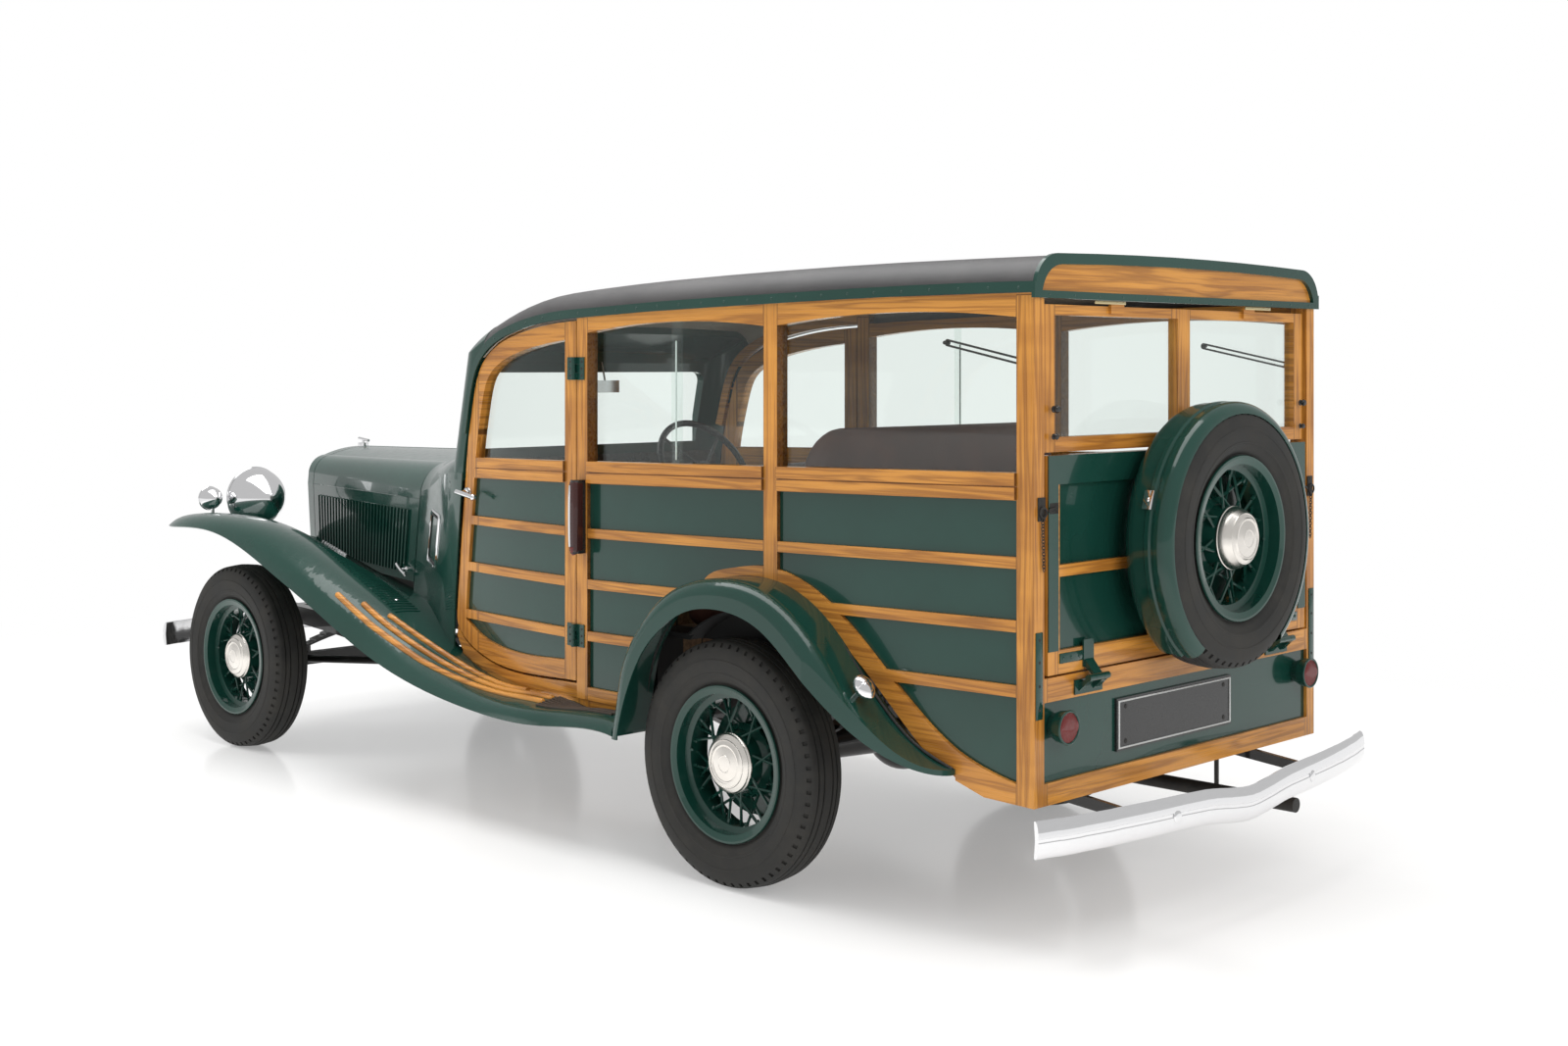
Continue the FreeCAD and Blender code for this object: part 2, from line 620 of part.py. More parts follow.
def door_hinge_half(z):
    """Door's half of one hinge: a leaf on the stile and the middle knuckle."""
    y = door_hinge_y()
    knuckle = Part.makeCylinder(HINGE_RADIUS, 26.0, V(DOOR_HINGE_X, y, z - 13.0), Z_AXIS)
    web = box(DOOR_HINGE_X + 1.0, DOOR_HINGE_X + 12.0, y - HINGE_RADIUS - 3.0, y, z - 13.0, z + 13.0)
    leaf = side_slab((DOOR_REAR, z - 36.0), [(DOOR_REAR + 42.0, z - 36.0), (DOOR_REAR + 42.0, z + 36.0),
                                            (DOOR_REAR, z + 36.0)], 600, 900).common(side_band(-4.0, 0.0))
    return fuse(knuckle, web, leaf)


def post_hinge_half(z):
    """Post's half of one hinge: a leaf on the B post and the two end knuckles."""
    y = door_hinge_y()
    leaf = side_slab((B_POST_REAR + 14.0, z - 36.0), [(B_POST_FRONT, z - 36.0), (B_POST_FRONT, z + 36.0),
                                                     (B_POST_REAR + 14.0, z + 36.0)], 600, 900)
    pieces = [leaf.common(side_band(-4.0, 0.0))]
    for z0 in (z - 36.0, z + 14.0):
        pieces.append(Part.makeCylinder(HINGE_RADIUS, 22.0, V(DOOR_HINGE_X, y, z0), Z_AXIS))
        pieces.append(box(DOOR_HINGE_X - 10.0, DOOR_HINGE_X - 1.0, y - DOOR_HINGE_OUT + 1.5, y, z0,
                          z0 + 22.0))
    return fuse(*pieces)


def door_handle():
    """Lever handle on a round rose at the front edge of the door."""
    x, z = 1440.0, 1062.0
    y = half_width(x)
    rose = rod((x, y, z), (x, y + 12.0, z), 17.0)
    stem = rod((x, y + 10.0, z), (x, y + 42.0, z), 8.0)
    lever = fuse(rod((x + 12.0, y + 40.0, z + 2.0), (x - 78.0, y + 40.0, z - 12.0), 8.0),
                 Part.makeSphere(10.0, V(x - 78.0, y + 40.0, z - 12.0)))
    return fuse(rose, stem, lever)


# Rear face

def rear_frame(under_roof):
    """Wood at the rear: the curved header, the rail under the tailgate and the bottom rail."""
    x0, x1 = BODY_REAR, BODY_REAR + WOOD_DEPTH
    w = BODY_HALF_WIDTH - WOOD_DEPTH
    header = under_roof.common(box(x0, x1, -BODY_HALF_WIDTH, BODY_HALF_WIDTH, LIFT_TOP + 17.0, 1900.0))
    gate_rail = box(x0, x1, -w, w, 645.0, GATE_BOTTOM - 6.0)
    bottom_rail = box(x0, x1, -w, w, BODY_BOTTOM_REAR, BODY_BOTTOM_REAR + 56.0)
    return [header, gate_rail, bottom_rail]


def rear_panel():
    """Green lower panel between the two rails, set in from their faces."""
    w = BODY_HALF_WIDTH - WOOD_DEPTH
    return box(BODY_REAR + 10.0, BODY_REAR + 16.0, -w, w, BODY_BOTTOM_REAR + 56.0, 645.0)


def tailgate_frame():
    """Wood frame of the tailgate with its middle slat and bottom rail."""
    x0, x1 = BODY_REAR, BODY_REAR + GATE_THICKNESS
    w = GATE_HALF_WIDTH
    whole = box(x0, x1, -w, w, GATE_BOTTOM, GATE_TOP)
    holes = [box(x0 - 5, x1 + 5, 50 - w, w - 50, 772.0, 960.0),
             box(x0 - 5, x1 + 5, 50 - w, w - 50, 990.0, 1196.0)]
    return whole.cut(Part.makeCompound(holes))


def tailgate_panel():
    """Green panels, the edge straps, the strap hinges and the spare wheel's carrier."""
    x0 = BODY_REAR
    w = GATE_HALF_WIDTH
    sheets = [box(x0 + 12.0, x0 + 20.0, 50 - w, w - 50, 772.0, 960.0),
              box(x0 + 12.0, x0 + 20.0, 50 - w, w - 50, 990.0, 1196.0)]
    strap = 3.0
    outer = box(x0 - strap, x0, -w, w, 772.0, GATE_TOP).cut(box(x0 - 5, x0 + 1, 42 - w, w - 42, 700, 1196.0))
    hinges = [gate_strap(y) for y in GATE_HINGE_Y]
    carrier_half = 60.0
    carrier = box(x0 - 6.0, x0, -carrier_half, carrier_half, 800.0, 1230.0)
    post = rod((x0 - 4.0, 0, SPARE_Z), (SPARE_X + HUB_BACK, 0, SPARE_Z), 52.0)
    backing = [box(x0, x0 + 12.0, -carrier_half, carrier_half, z0, z1)
               for z0, z1 in ((800.0, 960.0), (990.0, 1196.0))]
    return sheets, fuse(outer, *hinges), fuse(carrier, post, *backing)


def gate_strap(y):
    """Strap hinge of the tailgate: the gate's leaf, its arm and the middle knuckle."""
    leaf = box(BODY_REAR - 5.0, BODY_REAR, y - 22.0, y + 22.0, GATE_BOTTOM + 8.0, 790.0)
    arm = side_slab((GATE_HINGE_X, GATE_HINGE_Z), [(BODY_REAR - 5.0, GATE_BOTTOM + 8.0),
                    (BODY_REAR, GATE_BOTTOM + 8.0), (BODY_REAR, 740.0), (BODY_REAR - 5.0, 740.0),
                    (GATE_HINGE_X, GATE_HINGE_Z + 9.0)], y - 18.0, y + 18.0)
    knuckle = rod((GATE_HINGE_X, y - 18.0, GATE_HINGE_Z), (GATE_HINGE_X, y + 18.0, GATE_HINGE_Z), 9.0)
    return fuse(leaf, arm, knuckle)


def rail_strap(y):
    """Body's half of a tailgate hinge: a plate on the fixed rail with two arms and knuckles."""
    pieces = [box(BODY_REAR - 5.0, BODY_REAR, y - 60.0, y + 60.0, 652.0, 690.0)]
    for y0 in (y - 44.0, y + 19.0):
        pieces.append(side_slab((GATE_HINGE_X, GATE_HINGE_Z - 9.0), [(BODY_REAR, 655.0), (BODY_REAR, 680.0),
                                (GATE_HINGE_X, GATE_HINGE_Z)], y0, y0 + 25.0))
        pieces.append(rod((GATE_HINGE_X, y0, GATE_HINGE_Z), (GATE_HINGE_X, y0 + 25.0, GATE_HINGE_Z), 9.0))
    return fuse(*pieces)


COVER_TREAD = 371.0
COVER_WALL = 2.5
COVER_RIDGE = 5.0
COVER_REAR_EDGE = (-70.0, 338.0)
COVER_FRONT_LIP = 300.0
COVER_FRONT_SHOULDER = 42.0


def cover_line(inset):
    """Section of the cover from its rear edge over two ridges to the front lip: x and radius."""
    top, base = COVER_TREAD - inset, COVER_TREAD - COVER_RIDGE - inset
    rear_x, rear_r = COVER_REAR_EDGE
    rear_bend = COVER_TREAD - rear_r
    front = TYRE_WIDTH / 2.0 + 1.1 + COVER_WALL
    front_x, front_r = front - COVER_FRONT_SHOULDER, base + inset - COVER_FRONT_SHOULDER
    rear = arc_points(rear_x + rear_bend, rear_r, rear_bend - inset, 180.0, 90.0)
    ridges = [(-26.0 - inset, top), (-21.0 - inset, base), (-15.0 + inset, base), (-10.0 + inset, top),
              (2.0 - inset, top), (7.0 - inset, base)]
    shoulder = arc_points(front_x, front_r, COVER_FRONT_SHOULDER - inset, 90.0, 0.0)
    return rear, ridges, shoulder + [(front - inset, COVER_FRONT_LIP)]


def arc_points(x, r, radius, start, end):
    """Start, middle and end of an arc."""
    return [(x + radius * math.cos(math.radians(a)), r + radius * math.sin(math.radians(a)))
            for a in (start, (start + end) / 2.0, end)]


def spare_cover():
    """Pressed metal cover over the upper part of the spare tyre, open to the rear and at the bottom."""
    (a, b, c), ridges, (d, e, f, g) = cover_line(0.0)
    (h, i, j), inner_ridges, (k, l, m, n) = cover_line(COVER_WALL)
    steps = [(b, c)] + ridges + [d, (e, f), g, n, m, (l, k)] + inner_ridges[::-1] + [j, (i, h)]
    shell = face(a, steps, lambda x, r: V(x, 0, r)).revolve(V(0, 0, 0), X_AXIS, 290)
    shell.rotate(V(0, 0, 0), X_AXIS, -145)
    shell.translate(V(SPARE_X, 0, SPARE_Z))
    return shell


def lift_frame():
    """Top-hinged rear window frame with its centre mullion."""
    x0, x1 = BODY_REAR + 10.0, BODY_REAR + 42.0
    w = GATE_HALF_WIDTH + 4.0
    whole = box(x0, x1, -w, w, LIFT_BOTTOM, LIFT_TOP)
    holes = [box(x0 - 5, x1 + 5, y0, y1, LIFT_BOTTOM + 38.0, LIFT_TOP - 27.0)
             for y0, y1 in ((30.0, w - 48.0), (48.0 - w, -30.0))]
    frame = whole.cut(Part.makeCompound(holes))
    barrels = []
    for y in (-330.0, 330.0):
        barrels.append(rod((LIFT_HINGE_X, y - 30.0, LIFT_HINGE_Z), (LIFT_HINGE_X, y + 30.0, LIFT_HINGE_Z),
                           5.0))
        barrels.append(box(LIFT_HINGE_X - 2.0, x0 + 1.0, y - 30.0, y + 30.0, LIFT_TOP - 20.0, LIFT_HINGE_Z))
    return fuse(frame, *barrels)


def lift_glass():
    x0 = BODY_REAR + 24.0
    w = GATE_HALF_WIDTH + 4.0
    return [box(x0, x0 + GLASS_THICKNESS, y0, y1, LIFT_BOTTOM + 38.0, LIFT_TOP - 27.0)
            for y0, y1 in ((30.0, w - 48.0), (48.0 - w, -30.0))]


# Roof: cross-sections from the tail to the header over the windscreen
ROOF_PROUD = 3.0
ROOF_SHOULDER = 92.0
# Front line of the header and the windscreen pillars in the side view, from the cowl up to the roof
SCREEN_LINE = [(1607.0, 1106.0), (1573.0, 1262.0), (1556.0, 1345.0), (1533.0, 1452.0), (1508.0, 1520.0),
               (1470.0, 1574.0), (1400.0, 1622.0), (ROOF_FRONT, 1650.0)]


def roof_section(x, inset=0.0):
    w, s = half_width(x) + ROOF_PROUD - inset, ROOF_SHOULDER - inset * 0.4
    z, t = smooth_value(x, 1), smooth_value(x, 2) - inset
    bend = 0.3 * s
    return Part.Wire(edges_through((-w, z), [((bend - w, t - bend), (s - w, t)),
                                             ((0.0, t + ROOF_CROWN), (w - s, t)),
                                             ((w - bend, t - bend), (w, z))], lambda y, h: V(x, y, h)))


def roof_solid(inset):
    return Part.makeLoft([roof_section(x, inset) for x in ROOF_X], True, True)


REAR_BEAD_BOTTOM = 1670.0
REAR_BEAD_TOP = 1689.0


def gutter():
    """Green drip bead: over both sides, down the windscreen pillars and round the roof's rear edge."""
    line = [(BODY_REAR - GUTTER_PROUD, EAVE[0][1])] + EAVE[2:-1:2] + shifted(DOOR_EDGE[:9], DOOR_GAP)
    slab = two_spline_slab(shifted(line, GUTTER_HEIGHT), line, 400.0, 1000.0)
    side = slab.common(side_band(-GUTTER_PROUD, -ROOF_PROUD - GUTTER_CLEARANCE))
    arch = [Part.Face(roof_section(BODY_REAR, inset)) for inset in (-5.0, GUTTER_HEIGHT - 5.0)]
    rear = arch[0].cut(arch[1]).extrude(V(-GUTTER_PROUD, 0, 0))
    w = BODY_HALF_WIDTH + GUTTER_PROUD
    bead = box(BODY_REAR - GUTTER_PROUD, BODY_REAR, -w, w, REAR_BEAD_BOTTOM, REAR_BEAD_TOP)
    return fuse(side, mirrored(side), rear, bead)


# Windscreen surround and cowl

def raked(shape_face, z_from, z_to):
    """A plan outline carried up along the rake of the windscreen."""
    rise = z_to - z_from
    return shape_face.extrude(V(-rise * math.tan(RAKE), 0, rise))


SCREEN_BASE = 1080.0
SCREEN_FOOT = 1106.0


def screen_plan(inset):
    """Plan of the windscreen corner at the cowl, as a face at the height of the belt."""
    x_front = 1592.0 - inset
    y_side = 628.0 - inset
    y_front = 520.0 - inset * 0.4
    x_corner = 1500.0 - inset * 0.4
    place = lambda x, y: V(x + (1150.0 - SCREEN_BASE) * math.tan(RAKE), y, SCREEN_BASE)
    bend = 0.29
    mid_x = x_front - (x_front - x_corner) * bend
    mid_y = y_side - (y_side - y_front) * bend
    return face((1300.0, -y_side - 16.0), [(x_corner, -y_side), ((mid_x, -mid_y), (x_front, -y_front)),
                                   (x_front, y_front), ((mid_x, mid_y), (x_corner, y_side)),
                                   (1300.0, y_side + 16.0)], place)


def shoulder_envelope():
    """The header's rounded shoulders, carried on from the roof's last section."""
    sections = []
    for x, width, top, shoulder in ((ROOF_FRONT - 40.0, 645.0, 1655.0, 90.0),
                                    (ROOF_FRONT, 642.0, 1640.0, 88.0),
                                    (1400.0, 635.0, 1614.0, 84.0), (1470.0, 631.0, 1567.0, 80.0),
                                    (1520.0, 629.0, 1503.0, 76.0), (1560.0, 628.0, 1400.0, 70.0)):
        place = lambda y, h: V(x, y, h)
        w, bend, eave = width, 0.3 * shoulder, top - 112.0
        sections.append(Part.Wire(edges_through((-w, 900.0), [
            (-w, eave), ((bend - w, top - bend), (shoulder - w, top)),
            ((0.0, top + ROOF_CROWN), (w - shoulder, top)),
            ((w - bend, top - bend), (w, eave)), (w, 900.0)], place)))
    return Part.makeLoft(sections, True, False)


def screen_frame():
    """Windscreen surround: pillars, header and the bottom rail, in painted metal."""
    outer = raked(screen_plan(0.0), SCREEN_BASE, 1750.0)
    inner = raked(screen_plan(34.0), SCREEN_BASE, 1750.0)
    pillar_line = shifted(DOOR_EDGE[4:10], DOOR_GAP)[1:]
    place = lambda x, z: V(x, -700.0, z)
    rear_top = (ROOF_FRONT, SCREEN_LINE[-1][1] - 110.0)
    chain = [SCREEN_LINE[-1], rear_top, pillar_line[0]]
    edges = [through_points(SCREEN_LINE, place), through_points(pillar_line, place),
             Part.LineSegment(place(*pillar_line[-1]), place(*SCREEN_LINE[0])).toShape()]
    edges += [Part.LineSegment(place(*a), place(*b)).toShape() for a, b in zip(chain, chain[1:])]
    profile = Part.Face(Part.Wire(Part.__sortEdges__(edges))).extrude(V(0, 1400.0, 0))
    envelope = shoulder_envelope()
    block = outer.common(profile).common(envelope)
    header = block.common(inner).cut(lowered(profile.common(envelope), 26.0))
    view = screen_view(1400.0).extrude(V(300.0, 0, 0))
    return fuse(block.cut(inner), header).cut(view)


def screen_view(x, rake=0.0):
    """Outline of the windscreen's opening as a face, its top corners rounded, on a raked plane."""
    w, low, high = SCREEN_HALF_WIDTH, SCREEN_BOTTOM, SCREEN_TOP
    return face((-w, low), [(w, low), (w, high - 40.0), ((w - 12.0, high - 12.0), (w - 40.0, high)),
                            (40.0 - w, high), ((12.0 - w, high - 12.0), (-w, high - 40.0))],
                lambda y, z: V(x - (z - low) * math.tan(rake), y, z))


def lowered(shape, drop):
    moved = shape.copy()
    moved.translate(V(-drop * 0.7, 0, -drop))
    return moved


def screen_glass():
    """Windscreen pane, raked, in the opening of the surround."""
    return screen_view(1566.0, RAKE).extrude(V(-GLASS_THICKNESS, 0, 0))


def nose_section(x, inset=0.0, bottom=None):
    """Section of cowl, bonnet and radiator shell at x, as an open-bottomed arch closed by a line."""
    t = (x - BONNET_REAR) / (BONNET_FRONT - BONNET_REAR)
    mix = lambda rear, front: rear + (front - rear) * t
    w = mix(462.0, 247.0) - inset
    low_w = mix(458.0, 186.0) - inset
    z_low = BONNET_BOTTOM - 150.0 if bottom is None else bottom
    z_corner = mix(1035.0, 1052.0)
    w_crown = mix(345.0, 176.0) - inset * 0.4
    z_crown = mix(1140.0, 1124.0) - inset
    z_top = mix(1170.0, 1156.0) - inset
    z_split = BONNET_SPLIT
    bend_y = (w * 0.7 + w_crown * 0.3)
    bend_z = z_crown - (z_crown - z_corner) * 0.32
    place = lambda y, z: V(x, y, z)
    edges = edges_through((-low_w, z_low), [(-w, z_split), (-w, z_corner),
                                            ((-bend_y, bend_z), (-w_crown, z_crown)),
                                            ((0.0, z_top), (w_crown, z_crown)),
                                            ((bend_y, bend_z), (w, z_corner)),
                                            (w, z_split), (low_w, z_low)], place)
    return Part.Wire(edges)


def nose_shell(x0, x1, wall):
    outer = Part.makeLoft([nose_section(x0), nose_section(x1)], True, True)
    inner = Part.makeLoft([nose_section(x0 - 1.0, wall, BONNET_BOTTOM - 160.0),
                           nose_section(x1 + 1.0, wall, BONNET_BOTTOM - 160.0)], True, True)
    return outer.cut(inner)


def lean_x(x, z):
    """x of a shut line that passes through x at the bonnet's split and leans with the windscreen."""
    return x + (BONNET_SPLIT - z) * math.tan(RAKE)


def lean_slab(x0, x1, z0, z1, y0=-600.0, y1=600.0):
    """The space between two leaning shut lines and two heights."""
    return side_slab((lean_x(x0, z0), z0), [(lean_x(x1, z0), z0), (lean_x(x1, z1), z1),
                                            (lean_x(x0, z1), z1)], y0, y1)


HINGE_ROD_RADIUS = 4.0


def bonnet_hinge_line():
    """Both ends of the line on which the bonnet tops turn."""
    ends = []
    for x in (BONNET_REAR - 50.0, BONNET_FRONT - 20.0):
        t = (x - BONNET_REAR) / (BONNET_FRONT - BONNET_REAR)
        ends.append((x, 0.0, 1170.0 - 14.0 * t - BONNET_WALL / 2.0))
    return ends


def bonnet_hinge_rod(radius):
    """Rod on which both bonnet tops turn, from the cowl to the radiator shell."""
    return rod(*bonnet_hinge_line(), radius)


BONNET_SWING = 60.0
HINGE_CREASE = 0.9
CREASE_DEPTH = 6.0


def bonnet_swing_wedge():
    """What would pass the middle of the car when a bonnet top stands open."""
    start, end = (V(*one) for one in bonnet_hinge_line())
    reach = HINGE_CREASE + CREASE_DEPTH * math.tan(math.radians(BONNET_SWING))
    place = lambda y, rise: start + V(0, y, rise)
    return face((-1.0, 0.0), [(HINGE_CREASE, 0.0), (reach, CREASE_DEPTH), (-1.0, CREASE_DEPTH)],
                place).extrude(end - start)


BONNET_HALF_GAP = 3.0


def bonnet_pieces():
    """Left bonnet top and side panel with its louvres."""
    shell = nose_shell(BONNET_REAR - 60.0, BONNET_FRONT + 130.0, BONNET_WALL)
    top = shell.common(lean_slab(BONNET_REAR, BONNET_FRONT, BONNET_SPLIT + 0.5, 1300.0, BONNET_HALF_GAP,
                                 600.0))
    top = top.cut(bonnet_hinge_rod(HINGE_ROD_RADIUS + RUNNING_CLEARANCE)).cut(bonnet_swing_wedge())
    side = shell.common(lean_slab(BONNET_REAR, BONNET_FRONT, BONNET_BOTTOM, BONNET_SPLIT - 0.5, 0.5, 600.0))
    louvres = []
    first, last = BONNET_REAR + 85.0, BONNET_FRONT - 70.0
    pitch = (last - first) / (LOUVRE_COUNT - 1)
    for k in range(LOUVRE_COUNT):
        x = first + k * pitch
        t = (x - BONNET_REAR) / (BONNET_FRONT - BONNET_REAR)
        y = 462.0 + (247.0 - 462.0) * t
        z0, z1 = BONNET_BOTTOM + 30.0, BONNET_SPLIT - 45.0
        rib = side_slab((lean_x(x, z0), z0), [(lean_x(x + 13.0, z0), z0), (lean_x(x + 13.0, z1), z1),
                                             (lean_x(x, z1), z1)], y - 90.0, y + 40.0)
        louvres.append(rib)
    proud = nose_louvre_skin()
    ribs = Part.makeCompound([proud.common(one) for one in louvres])
    side = side.fuse([one for one in ribs.Solids])
    return top, side


def nose_louvre_skin():
    """A skin that stands proud of the bonnet side, from which the louvres are cut."""
    x0, x1 = BONNET_REAR - 60.0, BONNET_FRONT + 130.0
    outer = Part.makeLoft([nose_section(x0, -8.0, BONNET_BOTTOM - 160.0),
                           nose_section(x1, -8.0, BONNET_BOTTOM - 160.0)], True, True)
    inner = Part.makeLoft([nose_section(x0 - 1.0, 2.0, BONNET_BOTTOM - 165.0),
                           nose_section(x1 + 1.0, 2.0, BONNET_BOTTOM - 165.0)], True, True)
    return outer.cut(inner).common(box(x0, x1, 10.0, 700.0, 0, 2000.0))


def cowl_loft(inset, bottom):
    rear = cowl_section(1440.0, 638.0, 1120.0, inset, bottom)
    middle = cowl_section(1620.0, 596.0, 1118.0, inset, bottom)
    return Part.makeLoft([rear, middle, nose_section(BONNET_REAR - 12.0, inset, bottom),
                          nose_section(BONNET_REAR + 90.0, inset, bottom)], True, False)


def cowl(wing_mass):
    """Cowl: a shell from the door shut line and the windscreen forward to the bonnet."""
    shell = cowl_loft(0.0, 440.0).cut(cowl_loft(COWL_WALL, 420.0))
    front_x = BONNET_REAR - SHUT_GAP
    door_line = shifted(DOOR_EDGE[8:], DOOR_GAP)
    place = lambda x, z: V(x, -750.0, z)
    edges = [through_points(door_line, place)]
    corners = [door_line[-1], (door_line[-1][0] + 8.0, 440.0), (lean_x(front_x, 440.0), 440.0),
               (lean_x(front_x, 1250.0), 1250.0), (door_line[0][0], 1250.0), door_line[0]]
    edges += [Part.LineSegment(place(*a), place(*b)).toShape() for a, b in zip(corners, corners[1:])]
    region = Part.Face(Part.Wire(edges)).extrude(V(0, 1500.0, 0))
    screen_foot = raked(screen_plan(0.0), SCREEN_BASE, 1750.0).common(
        side_slab((1300.0, SCREEN_FOOT), [(1700.0, SCREEN_FOOT), (1700.0, 1400.0), (1300.0, 1400.0)],
                  -800.0, 800.0))
    body = shell.common(region).cut(screen_foot)
    for mass in wing_mass:
        body = body.cut(mass)
    return largest(body)


def cowl_section(x, width, z_corner, inset, bottom):
    w = width - inset
    w_crown = width - 96.0 - inset * 0.4
    z_crown = z_corner + 56.0 - inset
    z_top = 1196.0 - inset
    bend_y = w * 0.7 + w_crown * 0.3
    bend_z = z_crown - (z_crown - z_corner) * 0.32
    place = lambda y, z: V(x, y, z)
    return Part.Wire(edges_through((-w, bottom), [(-w, BONNET_SPLIT), (-w, z_corner),
                                                  ((-bend_y, bend_z), (-w_crown, z_crown)),
                                                  ((0.0, z_top), (w_crown, z_crown)),
                                                  ((bend_y, bend_z), (w, z_corner)),
                                                  (w, BONNET_SPLIT), (w, bottom)], place))


SHELL_DEPTH = 62.0
SHELL_FRAME = 34.0
GRILLE_BOTTOM = 560.0


def radiator_shell():
    """Painted shell round the grille: a leaning ring ahead of the bonnet."""
    slab = lean_slab(BONNET_FRONT + SHUT_GAP, BONNET_FRONT + SHUT_GAP + SHELL_DEPTH, GRILLE_BOTTOM - 20.0,
                     1300.0)
    outer = Part.makeLoft([nose_section(BONNET_FRONT - 60.0, 0.0, GRILLE_BOTTOM - 20.0),
                           nose_section(BONNET_FRONT + 260.0, 0.0, GRILLE_BOTTOM - 20.0)], True, True)
    hole = Part.makeLoft([nose_section(BONNET_FRONT - 61.0, SHELL_FRAME, GRILLE_BOTTOM + 14.0),
                          nose_section(BONNET_FRONT + 261.0, SHELL_FRAME, GRILLE_BOTTOM + 14.0)], True, True)
    return outer.common(slab).cut(hole)


def nose_block():
    """The radiator shell's outer form, filled and grown by a running gap."""
    slab = lean_slab(BONNET_FRONT + SHUT_GAP, BONNET_FRONT + 400.0, 300.0, 1300.0)
    return Part.makeLoft([nose_section(BONNET_FRONT - 60.0, -0.5, 300.0),
                          nose_section(BONNET_FRONT + 460.0, -0.5, 300.0)], True, True).common(slab)


def grille():
    """V-shaped grille of slim vertical bars that lean with the shell, with three cross ties."""
    hole = Part.makeLoft([nose_section(BONNET_FRONT - 61.0, SHELL_FRAME, GRILLE_BOTTOM + 14.0),
                          nose_section(BONNET_FRONT + 400.0, SHELL_FRAME, GRILLE_BOTTOM + 14.0)], True, True)
    bars = []
    count = 11
    vee = math.tan(math.radians(17.0))
    apex = BONNET_FRONT + SHUT_GAP + SHELL_DEPTH + 20.0
    low, high = GRILLE_BOTTOM, 1200.0
    for k in range(-count, count + 1):
        y = k * GRILLE_PITCH
        x = apex - abs(y) * vee
        half = 5.0 if k == 0 else 2.0
        bars.append(lean_slab(x - 14.0, x, low, high, y - half, y + half))
    ties = []
    reach = count * GRILLE_PITCH + 20.0
    for z in (GRILLE_BOTTOM + 16.0, 760.0, 940.0, 1112.0):
        x = lean_x(apex, z) - 12.0
        ties.append(plan_slab((x - reach * vee, -reach), [(x, 0.0), (x - reach * vee, reach),
                                                          (x - reach * vee - 8.0, reach), (x - 8.0, 0.0),
                                                          (x - reach * vee - 8.0, -reach)], z, z + 5.0))
    return bars[0].fuse(bars[1:] + ties).common(hole)


# Front wings with their aprons and the running boards, one sheet each side
# x, inner edge (y, z), middle, crown, shoulder, outer lip
FRONT_WING_STATIONS = [
    (425.0, (676.0, 428.0), (720.0, 429.0), (770.0, 428.0), (826.0, 424.0), (WING_OUTER, 388.0)),
    (800.0, (670.0, 424.0), (720.0, 424.0), (770.0, 420.0), (826.0, 412.0), (WING_OUTER, 371.0)),
    (1130.0, (650.0, 428.0), (700.0, 430.0), (770.0, 426.0), (826.0, 413.0), (WING_OUTER, 376.0)),
    (1418.0, (612.0, 472.0), (680.0, 482.0), (760.0, 476.0), (824.0, 452.0), (WING_OUTER, 412.0)),
    (1646.0, (560.0, 552.0), (655.0, 562.0), (745.0, 552.0), (822.0, 510.0), (WING_OUTER, 462.0)),
    (1887.0, (460.0, 628.0), (600.0, 646.0), (730.0, 645.0), (820.0, 590.0), (WING_OUTER, 541.0)),
    (2140.0, (392.0, 660.0), (550.0, 704.0), (715.0, 742.0), (818.0, 694.0), (WING_OUTER, 640.0)),
    (2361.0, (338.0, 680.0), (520.0, 752.0), (705.0, 826.0), (816.0, 786.0), (WING_OUTER, 722.0)),
    (2600.0, (283.0, 705.0), (490.0, 797.0), (700.0, 890.0), (816.0, 862.0), (WING_OUTER, 806.0)),
    (2845.0, (230.0, 738.0), (465.0, 828.0), (698.0, 912.0), (816.0, 894.0), (WING_OUTER, 858.0)),
    (3060.0, (196.0, 768.0), (460.0, 842.0), (698.0, 905.0), (812.0, 893.0), (840.0, 860.0)),
    (3220.0, (330.0, 806.0), (500.0, 850.0), (690.0, 886.0), (786.0, 876.0), (812.0, 852.0)),
    (3309.0, (560.0, 828.0), (610.0, 842.0), (680.0, 858.0), (730.0, 856.0), (752.0, 846.0))]


def wing_section(station, wall):
    x, points = station[0], list(station[1:])
    place = lambda y, z: V(x, y, z)
    under = shifted(points, -wall)
    top = through_points(points, place)
    low = through_points(under, place)
    ends = [Part.LineSegment(place(*points[-1]), place(*under[-1])).toShape(),
            Part.LineSegment(place(*under[0]), place(*points[0])).toShape()]
    return Part.Wire([top, ends[0], low, ends[1]])


def front_wing():
    """Left front wing, its apron and the running board it flows into."""
    return Part.makeLoft([wing_section(s, WING_WALL) for s in FRONT_WING_STATIONS], True, False)


def front_wing_mass(lift):
    """The space under the front wing's upper surface, lifted by a clearance."""
    wires = []
    for x, *points in FRONT_WING_STATIONS:
        place = lambda y, z: V(x, y, z + lift)
        top = through_points(points, place)
        (y0, z0), (y1, z1) = points[0], points[-1]
        corners = [(y1, z1), (y1, 250.0), (y0, 250.0), (y0, z0)]
        wires.append(Part.Wire([top] + [Part.LineSegment(place(*a), place(*b)).toShape()
                                        for a, b in zip(corners, corners[1:])]))
    return Part.makeLoft(wires, True, False)


